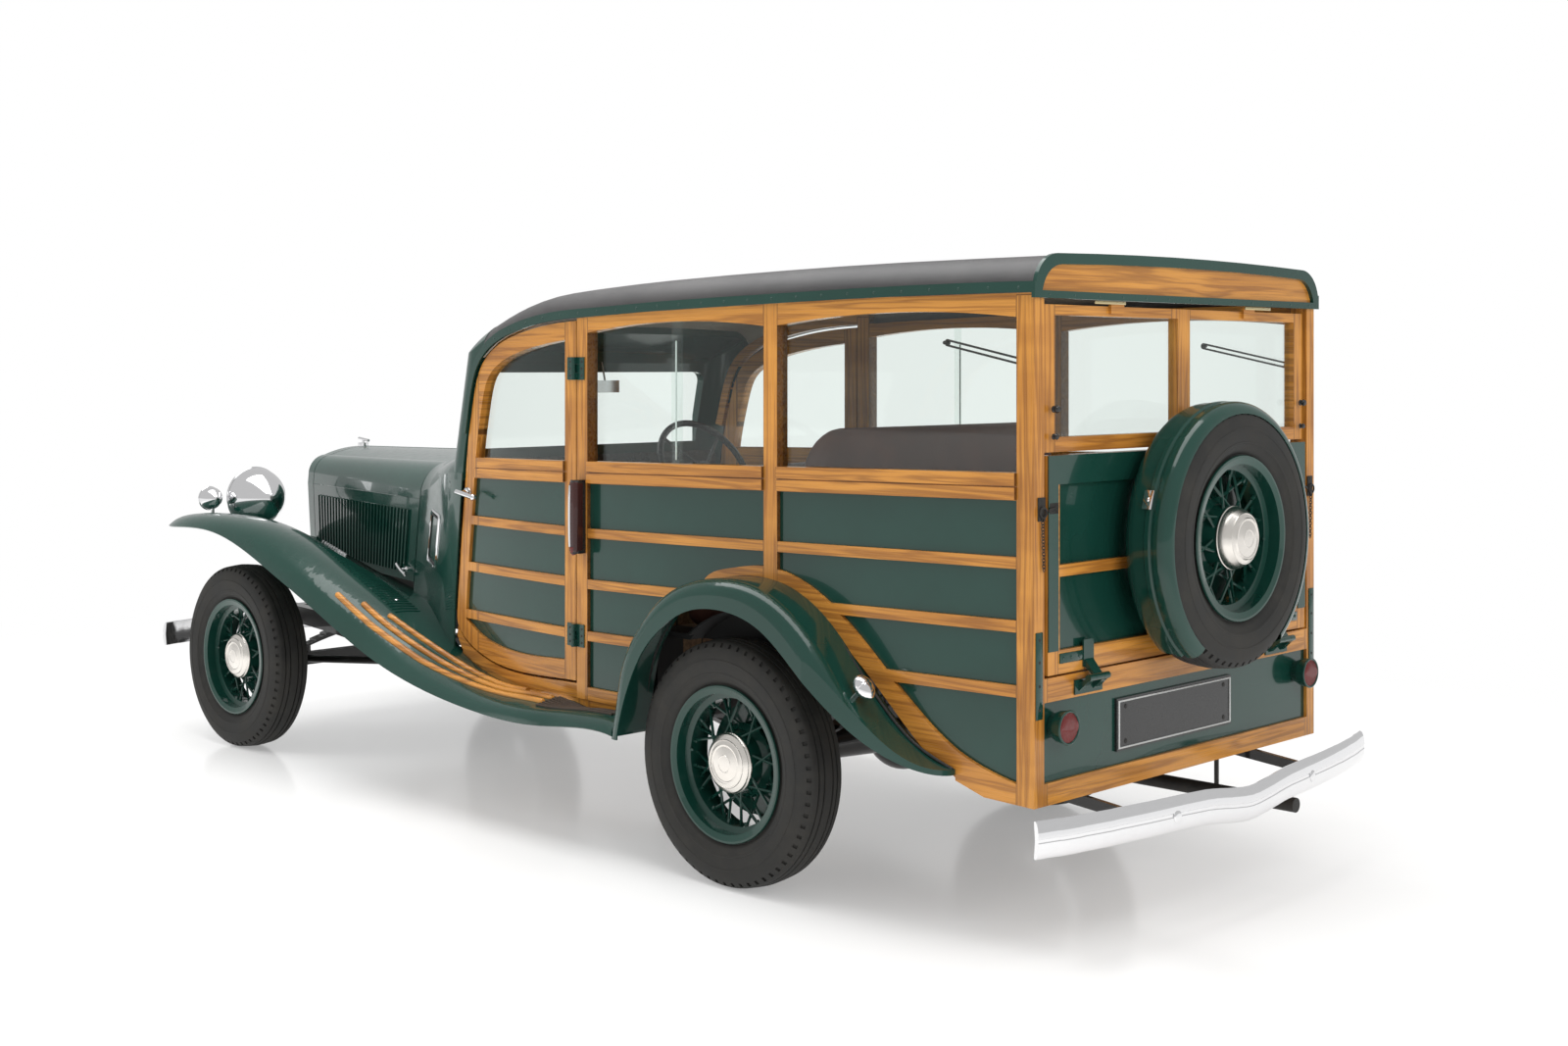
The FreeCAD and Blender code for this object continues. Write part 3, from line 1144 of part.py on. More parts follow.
def rear_wing():
    """Left rear wing: a pressed shell with a rolled outer crown and a skirt round the wheel."""
    place_y = half_width(0.0) - SLAT_DEPTH
    outer = rear_wing_block()
    inner = wing_block(shifted(REAR_WING_TOP, WING_WALL), WING_WALL, place_y - 20.0)
    shell = outer.cut(inner.cut(beside_tail(WING_WALL)))
    opening_cut = spline_slab(WHEEL_OPENING, [(-800.0, 100.0), (397.0, 100.0)], place_y - 30.0, 900.0)
    return largest(shell.cut(opening_cut))


def rear_wing_block():
    return wing_block(REAR_WING_TOP, 0.0, half_width(0.0) - SLAT_DEPTH).cut(beside_tail(0.0))


def beside_tail(wall):
    """All that lies outside the rear wing's tail, seen from above."""
    place = lambda x, y: V(x, y, 300.0)
    line = [(x + wall * 0.4, y - wall) for x, y in REAR_WING_TAIL]
    corners = [line[-1], (-900.0, line[-1][1]), (-900.0, 950.0), (line[0][0], 950.0), line[0]]
    edges = [Part.LineSegment(place(*a), place(*b)).toShape() for a, b in zip(corners, corners[1:])]
    return Part.Face(Part.Wire([through_points(line, place)] + edges)).extrude(V(0, 0, 700.0))


def wing_block(points, inset, y0):
    start = points[0]
    place = lambda x, z: V(x, y0, z)
    curve = through_points(points, place)
    corners = [points[-1], (points[-1][0], 380.0 - inset), (start[0], 380.0 - inset), start]
    lines = [Part.LineSegment(place(*a), place(*b)).toShape() for a, b in zip(corners, corners[1:])]
    block = Part.Face(Part.Wire([curve] + lines)).extrude(V(0, WING_OUTER + 3.0 - inset - y0, 0))
    y1 = WING_OUTER + 3.0 - inset
    crown = [e for e in block.Edges
             if abs(e.BoundBox.YMin - y1) < 0.01 and abs(e.BoundBox.YMax - y1) < 0.01
             and e.BoundBox.XLength > 600
             and e.BoundBox.ZMax > 700]
    return block.makeFillet(44.0 - inset, crown)


# Chassis

def chassis():
    """Two kicked-up side rails with cross members and the blocks that carry the body."""
    rail = side_slab((3150.0, 445.0), [(2700.0, 425.0), (1900.0, 370.0), (700.0, 370.0), (340.0, 400.0),
                                       (100.0, 520.0), (-200.0, 520.0), (-500.0, 470.0), (-1000.0, 452.0),
                                       (-1000.0, 540.0), (-500.0, 560.0), (-200.0, RAIL_KICK_TOP),
                                       (100.0, RAIL_KICK_TOP), (390.0, RAIL_TOP), (1900.0, RAIL_TOP),
                                       (2700.0, 500.0), (3150.0, 510.0)], 200.0, 500.0)
    lane = plan_slab((3200.0, 300.0), [(3200.0, 345.0), (1700.0, 445.0), (-1020.0, 445.0), (-1020.0, 400.0),
                                       (1700.0, 400.0)], 200.0, 800.0)
    rail = rail.common(lane)
    members = [box(-960.0, -900.0, -420, 420, 470.0, 530.0),
               box(-160.0, -100.0, -420, 420, SADDLE_TOP, 612.0),
               box(560.0, 620.0, -420, 420, 425.0, RAIL_TOP), box(1200.0, 1260.0, -420, 420, 425.0, RAIL_TOP),
               box(1850.0, 1910.0, -420, 420, 390.0, 440.0), box(2440.0, 2500.0, -375, 375, 440.0, 480.0),
               box(2800.0, 2890.0, -350, 350, FRONT_SPRING_TOP, ENGINE_SEAT),
               box(3080.0, 3140.0, -330, 330, 450.0, 500.0)]
    blocks = []
    for x, low in ((640.0, RAIL_TOP), (1300.0, RAIL_TOP)):
        blocks.append(box(x - 30.0, x + 30.0, 405.0, 440.0, low, FLOOR_TOP - FLOOR_WALL))
    for x, low in ((-60.0, RAIL_KICK_TOP), (-700.0, 545.0)):
        blocks.append(box(x - 30.0, x + 30.0, 405.0, 440.0, low, LOAD_FLOOR_TOP - FLOOR_WALL))
    return fuse(rail, mirrored(rail), *(members + blocks + [mirrored(b) for b in blocks]))


RAIL_TOP = 466.0
RAIL_KICK_TOP = 620.0
SADDLE_TOP = 560.0
ENGINE_SEAT = 502.0
FRONT_SPRING_TOP = TYRE_RADIUS + 109.0


def front_bumper_irons(bar):
    irons = []
    for s in (1, -1):
        iron = side_slab((3120.0, 450.0), [(3376.0, 415.0), (3376.0, 450.0), (3120.0, 490.0)],
                         s * 318.0 - 8.0, s * 318.0 + 8.0)
        irons.append(iron.cut(bar))
    return irons


def rear_bumper_irons(bar):
    """Flat irons that drop from the frame's tail, pass under the body and carry the rear bumper."""
    irons = []
    for s in (1, -1):
        iron = side_slab((-850.0, 470.0), [(-935.0, 345.0), (-1223.0, 318.0), (-1223.0, 346.0),
                                           (-955.0, 374.0),
                                           (-890.0, 470.0)], s * 424.0 - 8.0, s * 424.0 + 8.0)
        irons.append(iron.cut(bar))
    return irons


BUMPER_WALL = 6.0


def bumper_bar(end_back, dip):
    """A spring-steel bumper bar about x = 0, bowed in plan, with a dip in the middle."""
    w = BUMPER_HALF_WIDTH
    h = BUMPER_HEIGHT / 2.0
    place = lambda y, z: V(0, y, z)
    line = [(-w, 0.0), (-560.0, 0.0), (-300.0, 0.0), (-170.0, -12.0), (0.0, -dip), (170.0, -12.0),
            (300.0, 0.0),
            (560.0, 0.0), (w, 0.0)]
    top = [(y, z + h) for y, z in line]
    low = [(y, z - h) for y, z in line]
    edges = [through_points(top, place), Part.LineSegment(place(*top[-1]), place(*low[-1])).toShape(),
             through_points(low, place), Part.LineSegment(place(*low[0]), place(*top[0])).toShape()]
    front_view = Part.Face(Part.Wire(Part.__sortEdges__(edges)))
    front_view.translate(V(-400.0, 0, 0))
    front_view = front_view.extrude(V(800.0, 0, 0))
    plan = lambda x, y: V(x, y, -300.0)
    sheet = Part.Face(Part.Wire(edges_through((-end_back, -w), [
        ((-end_back * 0.22, -w * 0.5), (0.0, 0.0)), ((-end_back * 0.22, w * 0.5), (-end_back, w)),
        (-end_back - BUMPER_WALL, w), ((-end_back * 0.22 - BUMPER_WALL, w * 0.5), (-BUMPER_WALL, 0.0)),
        ((-end_back * 0.22 - BUMPER_WALL, -w * 0.5), (-end_back - BUMPER_WALL, -w))], plan)))
    bar = sheet.extrude(V(0, 0, 600.0)).common(front_view)
    return bar


def front_bumper():
    bar = bumper_bar(130.0, 30.0)
    bar.translate(V(FRONT_BUMPER_FACE, 0, 432.0))
    return bar


def rear_bumper():
    bar = bumper_bar(105.0, 48.0)
    bar.rotate(V(0, 0, 0), Z_AXIS, 180)
    bar.translate(V(REAR_BUMPER_FACE, 0, 338.0))
    return bar


def leaf_spring(x, z, half_span, leaves):
    """A transverse leaf spring: stacked arched leaves, each shorter than the one below it."""
    pieces = []
    thickness = 7.0
    for k in range(leaves):
        span = half_span * (1.0 - 0.11 * k)
        rise = 70.0 * (span / half_span) ** 2
        z0 = z + 70.0 - rise + k * thickness
        outline = face((-span, z0), [((0.0, z0 + rise), (span, z0)), (span, z0 + thickness),
                                     ((0.0, z0 + rise + thickness), (-span, z0 + thickness))],
                       lambda y, h: V(x - 25.0, y, h))
        pieces.append(outline.extrude(V(50.0, 0, 0)))
    return fuse(*pieces)


def front_axle():
    """Dropped I-beam axle with its spring, perches, radius rods and kingpin eyes."""
    x, z = WHEELBASE, TYRE_RADIUS
    y_eye = KINGPIN_HALF_TRACK
    beam = cross_slab((-y_eye, z - 26.0), [(-515.0, z - 26.0), (-450.0, z - 66.0), (450.0, z - 66.0),
                                           (515.0, z - 26.0), (y_eye, z - 26.0), (y_eye, z + 26.0),
                                           (450.0, z - 18.0), (-450.0, z - 18.0), (-y_eye, z + 26.0)],
                      x - 22.0, x + 22.0)
    eyes = [rod((x, s * y_eye, z - 34.0), (x, s * y_eye, z + 34.0), 26.0) for s in (1, -1)]
    bores = [rod((x, s * y_eye, z - 50.0), (x, s * y_eye, z + 50.0), KINGPIN_RADIUS + RUNNING_CLEARANCE)
             for s in (1, -1)]
    spring = leaf_spring(x, z + 4.0, 430.0, 5)
    perches = [rod((x, s * 415.0, z - 20.0), (x, s * 415.0, z + 16.0), 20.0) for s in (1, -1)]
    rods = [rod((x - 5.0, s * 440.0, z - 40.0), (1950.0, s * 30.0, 345.0), 15.0) for s in (1, -1)]
    clamp = box(x - 34.0, x + 34.0, -60.0, 60.0, z + 72.0, FRONT_SPRING_TOP)
    ball = Part.makeSphere(34.0, V(1950.0, 0, 345.0))
    body = fuse(beam, *(eyes + [spring, clamp] + perches + rods + [ball]))
    return body.cut(Part.makeCompound(bores))


def knuckle():
    """Left steering knuckle: forked yoke, kingpin, spindle and steering arm."""
    x, y, z = WHEELBASE, KINGPIN_HALF_TRACK, TYRE_RADIUS
    pin = rod((x, y, z - 52.0), (x, y, z + 52.0), KINGPIN_RADIUS)
    jaws = [box(x - 24.0, x + 24.0, y - 24.0, y + 52.0, z0, z0 + 17.0) for z0 in (z - 52.0, z + 35.0)]
    back = box(x - 24.0, x + 24.0, y + 30.0, y + 52.0, z - 52.0, z + 52.0)
    spindle = rod((x, y + 40.0, z), (x, FRONT_HALF_TRACK + 22.0, z), SPINDLE_RADIUS)
    arm = side_slab((x - 20.0, z - 50.0), [(x - 150.0, z - 50.0), (x - 150.0, z - 38.0),
                                           (x - 20.0, z - 38.0)],
                    y - 30.0, y - 6.0)
    return fuse(pin, *(jaws + [back, spindle, arm]))


def rear_axle():
    """Banjo axle with tapered tubes, the differential, torque tube, radius rods and spring."""
    z = TYRE_RADIUS
    place = lambda y, r: V(0, y, r)
    half = face((0.0, 0.0), [(0.0, 128.0), ((60.0, 112.0), (96.0, 62.0)), (560.0, 36.0),
                             (REAR_HALF_TRACK - 104.0, 36.0),
                             (REAR_HALF_TRACK - 104.0, 0.0)], place).revolve(V(0, 0, 0), Y_AXIS, 360)
    spindle = Part.makeCylinder(SPINDLE_RADIUS, 130.0, V(0, REAR_HALF_TRACK - 108.0, 0), Y_AXIS)
    left = fuse(half, spindle)
    housing = fuse(left, mirrored(left))
    housing.translate(V(0, 0, z))
    tube = Part.makeCone(52.0, 34.0, 1480.0, V(90.0, 0, z), V(1.0, 0, 0.02))
    rods = [rod((20.0, s * 520.0, z), (1180.0, s * 40.0, z + 12.0), 16.0) for s in (1, -1)]
    spring = leaf_spring(-130.0, z + 60.0, 520.0, 6)
    hangers = [side_slab((-20.0, z), [(20.0, z + 30.0), (-105.0, z + 74.0), (-155.0, z + 68.0),
                                      (-155.0, z + 50.0)],
                         s * 505.0 - 12.0, s * 505.0 + 12.0) for s in (1, -1)]
    saddle = box(-160.0, -100.0, -70.0, 70.0, z + 140.0, SADDLE_TOP)
    return fuse(housing, tube, *(rods + [spring, saddle] + hangers))


TAILPIPE_Z = 250.0


def exhaust():
    """Silencer and pipe down the right-hand side, ending in the tailpipe."""
    y = -330.0
    pipe = pipe_run([(2150.0, -300.0, 420.0), (1960.0, y, 330.0), (1500.0, y, 300.0)], 24.0)
    silencer = rod((1500.0, y, 300.0), (1050.0, y, 300.0), 62.0)
    tail = pipe_run([(1060.0, y, 300.0), (300.0, y, 280.0), (-250.0, y, 272.0), (-600.0, y, TAILPIPE_Z),
                     (-1190.0, y, TAILPIPE_Z)], 21.0)
    hangers = [box(x - 5.0, x + 5.0, y - 5.0, y + 5.0, low, high)
               for x, low, high in ((-930.0, TAILPIPE_Z, 470.0), (590.0, 290.0, 425.0))]
    return fuse(pipe, silencer, tail, *hangers)


def engine():
    """Engine and gearbox as one plain block, on the cross members."""
    return side_slab((2880.0, ENGINE_SEAT), [(2880.0, 980.0), (2250.0, 1000.0), (2250.0, 720.0),
                                             (1800.0, 640.0),
                                             (1800.0, 480.0), (2600.0, 480.0), (2700.0, ENGINE_SEAT)],
                                             -190.0, 190.0)


# Interior

FLOOR_TOP = 500.0
LOAD_FLOOR_TOP = 690.0
FLOOR_WALL = 18.0
SEAT_STEP_X = 430.0
WHEEL_BOX_RADIUS = 430.0
WHEEL_BOX_INNER = 600.0
COLUMN_RADIUS = 20.0


def floor(cabin):
    """Floor boards: foot space, the step up to the load floor, the toe board and the firewall."""
    w = half_width(SEAT_STEP_X + FLOOR_WALL, WOOD_DEPTH)
    w_front = half_width(1500.0, WOOD_DEPTH)
    front = plan_slab((SEAT_STEP_X, -w), [(1500.0, -w_front), (1500.0, w_front), (SEAT_STEP_X, w)],
                      FLOOR_TOP - FLOOR_WALL, FLOOR_TOP)
    step = box(SEAT_STEP_X, SEAT_STEP_X + FLOOR_WALL, -w, w, FLOOR_TOP, LOAD_FLOOR_TOP)
    load = box(BODY_REAR + WOOD_DEPTH, SEAT_STEP_X + FLOOR_WALL, -w, w, LOAD_FLOOR_TOP - FLOOR_WALL,
               LOAD_FLOOR_TOP)
    toe = side_slab((1482.0, FLOOR_TOP - FLOOR_WALL), [(1500.0, FLOOR_TOP - FLOOR_WALL), (1760.0, 760.0),
                                                      (1745.0, 770.0), (1482.0, FLOOR_TOP)], -540.0, 540.0)
    firewall = box(1745.0, 1758.0, -620.0, 620.0, 762.0, 1180.0)
    front_boards = fuse(toe, firewall).common(cabin)
    wheel_space = Part.makeCylinder(WHEEL_BOX_RADIUS - 6.0, 200.0, V(0, WHEEL_BOX_INNER, TYRE_RADIUS), Y_AXIS)
    boards = fuse(front, step, load, front_boards).cut(wheel_space).cut(mirrored(wheel_space))
    column_hole = Part.makeCylinder(COLUMN_RADIUS + 0.5, 900.0, V(*WHEEL_CENTRE), column_direction())
    return boards.cut(column_hole)


def wheel_boxes():
    """Inner wings over the rear wheels, seen as boxes beside the load floor."""
    outer = BODY_HALF_WIDTH - SLAT_DEPTH - PANEL_THICKNESS
    big = Part.makeCylinder(WHEEL_BOX_RADIUS, outer - WHEEL_BOX_INNER + 6.0,
                            V(0, WHEEL_BOX_INNER - 6.0, TYRE_RADIUS),
                            Y_AXIS)
    small = Part.makeCylinder(WHEEL_BOX_RADIUS - 6.0, outer - WHEEL_BOX_INNER,
                              V(0, WHEEL_BOX_INNER, TYRE_RADIUS),
                              Y_AXIS)
    shell = big.cut(small)
    return shell.cut(box(-500, 500, 0, 800, -200, LOAD_FLOOR_TOP - FLOOR_WALL)).cut(
        box(-500, 500, BODY_HALF_WIDTH - WOOD_DEPTH - 1.0, 800, -200, LOAD_FLOOR_TOP))


def cushion(x0, x1, y0, y1, z0, z1, radius):
    block = box(x0, x1, y0, y1, z0, z1)
    return block.makeFillet(radius, block.Edges)


def seats():
    """Front bench with its back and rear bench with its back, in leather."""
    front_base = cushion(900.0, 1290.0, -585.0, 585.0, SEAT_BASE_TOP, 830.0, 30.0)
    front_back = cushion(800.0, 895.0, -585.0, 585.0, SEAT_BASE_TOP, 1170.0, 30.0)
    rear_base = cushion(-40.0, 420.0, -585.0, 585.0, LOAD_FLOOR_TOP, 850.0, 30.0)
    rear_back = cushion(-190.0, -70.0, -585.0, 585.0, LOAD_FLOOR_TOP, 1336.0, 40.0)
    return front_base, front_back, rear_base, rear_back


def front_seat_box():
    """Plain box that carries the front bench."""
    return box(790.0, 1270.0, -560.0, 560.0, FLOOR_TOP, SEAT_BASE_TOP)


SEAT_BASE_TOP = 690.0
WHEEL_CENTRE = (1270.0, -330.0, 1112.0)
COLUMN_FOOT = (1900.0, -330.0, 700.0)


def column_direction():
    a, b = V(*WHEEL_CENTRE), V(*COLUMN_FOOT)
    return (b - a).normalize()


def steering_wheel():
    """Four-spoke steering wheel with a flat hub, on the axis of the column."""
    ring = Part.makeTorus(202.0, 12.0)
    hub = Part.makeCylinder(34.0, 26.0, V(0, 0, -6.0))
    spokes = [rod((30.0 * math.cos(a), 30.0 * math.sin(a), 4.0),
                  (202.0 * math.cos(a), 202.0 * math.sin(a), 0.0), 6.0)
              for a in [math.pi / 2 * k + math.pi / 4 for k in range(4)]]
    wheel = fuse(ring, hub, *spokes)
    bore = Part.makeCylinder(10.0 + RUNNING_CLEARANCE, 18.0, V(0, 0, 2.1))
    wheel = wheel.cut(bore)
    wheel.Placement = FreeCAD.Placement(V(*WHEEL_CENTRE), FreeCAD.Rotation(Z_AXIS, column_direction()))
    return wheel


def dashboard(cabin):
    """Dashboard with an instrument panel, and the steering column."""
    board = side_slab((1466.0, 1020.0), [(1480.0, 1020.0), (1500.0, 1150.0), (1482.0, 1172.0),
                                         (1468.0, 1150.0)],
                      -572.0, 572.0).common(cabin)
    panel = box(1455.0, 1475.0, -150.0, 150.0, 1050.0, 1130.0)
    d = column_direction()
    start = V(*WHEEL_CENTRE) + d * 22.0
    tube = Part.makeCylinder(COLUMN_RADIUS, (V(*COLUMN_FOOT) - start).Length, start, d)
    shaft = Part.makeCylinder(10.0, 60.0, V(*WHEEL_CENTRE) + d * 4.0, d)
    bracket = box(1468.0, 1486.0, WHEEL_CENTRE[1] - 16.0, WHEEL_CENTRE[1] + 16.0, 975.0, 1030.0)
    return fuse(board, panel, tube, shaft, bracket)


# Lamps and small fittings

def turned(start, steps, x, y, z):
    """A profile (along X, radius) turned about the axis along X through a point."""
    return face(start, steps, lambda a, r: V(x + a, y, z + r)).revolve(V(x, y, z), X_AXIS, 360)


LENS_RADIUS = 100.0


def headlamps(wing_mass):
    """Two bowl-shaped headlamps on stalks from the wings."""
    lamps = []
    lenses = []
    x, z = 3110.0, 955.0
    for s in (1, -1):
        y = 470.0 * s
        bowl = turned((60.0, 0.0), [(60.0, 112.0), (48.0, 122.0), (34.0, 122.0),
                                    ((-52.0, 90.0), (-112.0, 12.0)), (-112.0, 0.0)], x, y, z)
        hollow = turned((62.0, 0.0), [(62.0, LENS_RADIUS), (40.0, LENS_RADIUS),
                                      ((-42.0, 78.0), (-98.0, 10.0)), (-98.0, 0.0)], x, y, z)
        stalk = rod((x - 10.0, y, z - 90.0), (x - 10.0, y, 846.0), 16.0)
        lamps.append(fuse(bowl.cut(hollow), stalk.cut(hollow)).cut(wing_mass[0 if s > 0 else 1]))
        lens = turned((48.0, 0.0), [(48.0, LENS_RADIUS), (54.0, LENS_RADIUS),
                                    ((70.0, 56.0), (76.0, 8.0)), (76.0, 0.0)], x, y, z)
        lenses.append(lens)
    return lamps, lenses


def small_lamps():
    """Bullet lamps on the front wings and egg lamps on the rear wings."""
    lamps = []
    for s in (1, -1):
        x, y, z = 3170.0, 655.0 * s, 958.0
        bowl = turned((40.0, 0.0), [(39.5, 6.0), ((34.0, 30.0), (22.0, 46.0)), (10.0, 46.0),
                                    ((-30.0, 34.0), (-52.0, 6.0)), (-52.0, 0.0)], x, y, z)
        lamps.append(fuse(bowl, rod((x - 10.0, y, z - 30.0), (x - 10.0, y, 884.0), 8.0)))
        x, y, z = -536.0, 776.0 * s, 640.0
        egg = turned((39.5, 0.0), [(39.5, 4.0), ((26.0, 19.0), (0.0, 25.0)), ((-26.0, 19.0), (-39.5, 4.0)),
                                   (-39.5, 0.0)], x, y, z)
        egg.rotate(V(x, y, z), Y_AXIS, -42)
        lamps.append(fuse(egg, rod((x, y, z), (x + 34.0, y, z - 31.0), 8.0)))
    return lamps


def tail_lamps():
    """Round tail lamps on the lower rear panel, with a rim and a flat lens."""
    lamps = []
    for s in (1, -1):
        y, z = 605.0 * s, 582.0
        back = BODY_REAR + 10.0
        lamps.append(turned((0.0, 0.0), [(0.0, 30.0), (-24.0, 40.0), (-50.0, 44.0), (-50.0, 39.0),
                                         (-46.0, 39.0),
                                         (-46.0, 0.0)], back, y, z))
    return lamps


def plate_backing():
    """Number plate, blank, on the lower rear panel."""
    return box(BODY_REAR + 2.0, BODY_REAR + 10.0, -230.0, 334.0, 476.0, 616.0)


def direction_arms():
    """Housings of the swing-out direction arms on the B posts."""
    x, z0, z1 = 755.0, 904.0, 1137.0
    y = half_width(x)
    body = plan_slab((x - 19.0, y), [(x - 19.0, y + 30.0), ((x, y + 42.0), (x + 19.0, y + 30.0)),
                                     (x + 19.0, y)], z0, z1)
    return body


def mirrors():
    """Round mirror on the right windscreen pillar and the mirror inside the windscreen."""
    head = rod((1540.0, -735.0, 1331.0), (1549.0, -735.0, 1331.0), 59.0)
    arm = pipe_run([(1545.0, -735.0, 1331.0), (1560.0, -680.0, 1310.0), (1520.0, -600.0, 1290.0)], 5.0)
    inside = box(1455.0, 1462.0, -65.0, 65.0, 1400.0, 1445.0)
    stem = rod((1460.0, 0, 1440.0), (1478.0, 0, 1512.0), 4.0)
    return fuse(head, arm), fuse(inside, stem)


def cap_ornament():
    """Filler cap on the radiator shell with a plain winged ornament."""
    x, z = 3066.0, 1154.0
    cap = rod((x, 0, z), (x, 0, z + 16.0), 22.0)
    body = rod((x - 40.0, 0, z + 26.0), (x + 34.0, 0, z + 34.0), 6.0)
    neck = rod((x, 0, z + 10.0), (x, 0, z + 32.0), 6.0)
    return fuse(cap, body, neck)


STRIP_WIDTH = 24.0
# Middle lines of the three strips in plan
STRIP_LINES = [
    [(2018.0, 784.0), (1914.0, 787.0), (1783.0, 790.0), (1492.0, 785.0), (1325.0, 772.0), (1130.0, 760.0),
     (870.0, 758.0)],
    [(1902.0, 750.0), (1769.0, 755.0), (1657.0, 752.0), (1494.0, 742.0), (1303.0, 726.0), (1128.0, 720.0),
     (870.0, 720.0)],
    [(1784.0, 717.0), (1692.0, 711.0), (1561.0, 700.0), (1417.0, 688.0), (1250.0, 682.0), (1040.0, 682.0),
     (870.0, 682.0)]]


def rub_strips(wing_mass):
    """Three raised wood strips that sweep from the front wing on to the running board, each side."""
    raised = front_wing_mass(STRIP_HEIGHT).cut(wing_mass)
    half = STRIP_WIDTH / 2.0
    place = lambda x, y: V(x, y, 300.0)
    strips = []
    for line in STRIP_LINES:
        edges = [[(x, y + side) for x, y in line] for side in (-half, half)]
        wire = [through_points(edge, place) for edge in edges]
        wire += [Part.LineSegment(place(*edges[0][end]), place(*edges[1][end])).toShape() for end in (0, -1)]
        lane = Part.Face(Part.Wire(Part.__sortEdges__(wire))).extrude(V(0, 0, 700.0))
        strips.append(largest(raised.common(lane)))
    return strips


def export(name, shape):
    shape = shape.copy()
    shape.translate(V(-ORIGIN_X, 0, 0))
    solids = shape.Solids
    shape = solids[0] if len(solids) == 1 else Part.makeCompound(solids)
    shape.exportStep("parts/" + name + ".step")
    return shape


def build():
    parts = {}
    wheel, rubber = spoked_wheel(), tyre()
    hubs = {"rear_left": (0.0, REAR_HALF_TRACK), "rear_right": (0.0, -REAR_HALF_TRACK),
            "front_left": (WHEELBASE, FRONT_HALF_TRACK), "front_right": (WHEELBASE, -FRONT_HALF_TRACK)}
    for name, (x, y) in hubs.items():
        parts["wheel_" + name] = placed_wheel(wheel, x, y, TYRE_RADIUS)
        parts["tyre_" + name] = placed_wheel(rubber, x, y, TYRE_RADIUS)
    parts["spare_wheel"] = spare_place(spoked_wheel(with_drum=False))
    parts["spare_tyre"] = spare_place(rubber)
    parts["spare_cover"] = spare_cover()

    over_roof, under_roof = roof_solid(0.0), roof_solid(ROOF_SKIN)
    parts["roof"] = over_roof.cut(under_roof)
    mass = front_wing_mass(0.0)
    wing_mass = [mass, mirrored(mass)]
    wing = largest(front_wing().cut(nose_block()).cut(rear_wing_block()))
    frame = fuse(side_frame(), sill_foot().cut(rear_wing_block()).cut(mass).cut(wing))
    posts = [post_hinge_half(z) for z in DOOR_HINGE_HEIGHTS]
    parts["body_frame"] = fuse(frame, mirrored(frame), *rear_frame(under_roof))

    cabin = cowl_loft(COWL_WALL, 420.0)
    screen = screen_frame()
    parts["cowl"] = fuse(cowl(wing_mass), screen.cut(parts["body_frame"]),
                         bonnet_hinge_rod(HINGE_ROD_RADIUS))
    parts["gutter"] = gutter().cut(parts["cowl"]).cut(parts["roof"])
    parts["radiator_shell"] = radiator_shell().cut(bonnet_hinge_rod(HINGE_ROD_RADIUS))
    parts["grille"] = grille()
    top, side_panel = bonnet_pieces()
    side_panel = largest(side_panel.cut(front_wing_mass(SHUT_GAP + 1.0)))
    for side, sign in SIDES.items():
        parts["bonnet_top_" + side] = on_side(top, sign)
        parts["bonnet_side_" + side] = on_side(side_panel, sign)

    sheets = [one for one in panel_sheets(frame).Solids if one.Volume > SMALLEST_SHEET]
    parts["body_panels"] = Part.makeCompound(sheets + [mirrored(s) for s in sheets] + [rear_panel()])
    panes = window_glass()
    lamps, lenses = headlamps(wing_mass)
    parts["body_glass"] = Part.makeCompound(panes + [mirrored(p) for p in panes] + lenses +
                                            [screen_glass().cut(parts["cowl"])])
    parts["body_fittings"] = Part.makeCompound(posts + [mirrored(p) for p in posts] + tail_lamps() +
                                               [rail_strap(y) for y in GATE_HINGE_Y])

    door = {"frame": door_frame(), "glass": door_glass()}
    door["panel"] = Part.makeCompound([door_panel(), door_handle().cut(door["frame"])] +
                                      [door_hinge_half(z) for z in DOOR_HINGE_HEIGHTS])
    for side, sign in SIDES.items():
        for piece, shape in door.items():
            parts["door_%s_%s" % (side, piece)] = on_side(shape, sign)

    parts["tailgate_frame"] = tailgate_frame()
    sheets, straps, carrier = tailgate_panel()
    parts["tailgate_panel"] = fuse(carrier, straps, *sheets)
    parts["lift_frame"] = lift_frame()
    parts["lift_glass"] = Part.makeCompound(lift_glass())

    tail_wing = rear_wing()
    parts["front_wings"] = both_sides(wing)
    parts["rear_wings"] = both_sides(tail_wing)
    strips = rub_strips(mass)
    parts["rub_strips"] = Part.makeCompound(strips + [mirrored(s) for s in strips])

    front_bar, rear_bar = front_bumper(), rear_bumper()
    parts["bumpers"] = Part.makeCompound([front_bar, rear_bar])
    parts["chassis"] = fuse(chassis(), *(front_bumper_irons(front_bar) + rear_bumper_irons(rear_bar)))
    parts["front_axle"] = front_axle()
    parts["rear_axle"] = rear_axle()
    parts["exhaust"] = exhaust()
    parts["engine"] = engine()
    joint = knuckle()
    for side, sign in SIDES.items():
        parts["knuckle_" + side] = on_side(joint, sign)

    parts["floor"] = fuse(floor(cabin), wheel_boxes(), mirrored(wheel_boxes()), front_seat_box()).cut(frame)
    parts["floor"] = parts["floor"].cut(mirrored(frame))
    parts["seats"] = Part.makeCompound(list(seats()))
    parts["dashboard"] = dashboard(cabin).cut(parts["cowl"])
    parts["steering_wheel"] = steering_wheel()

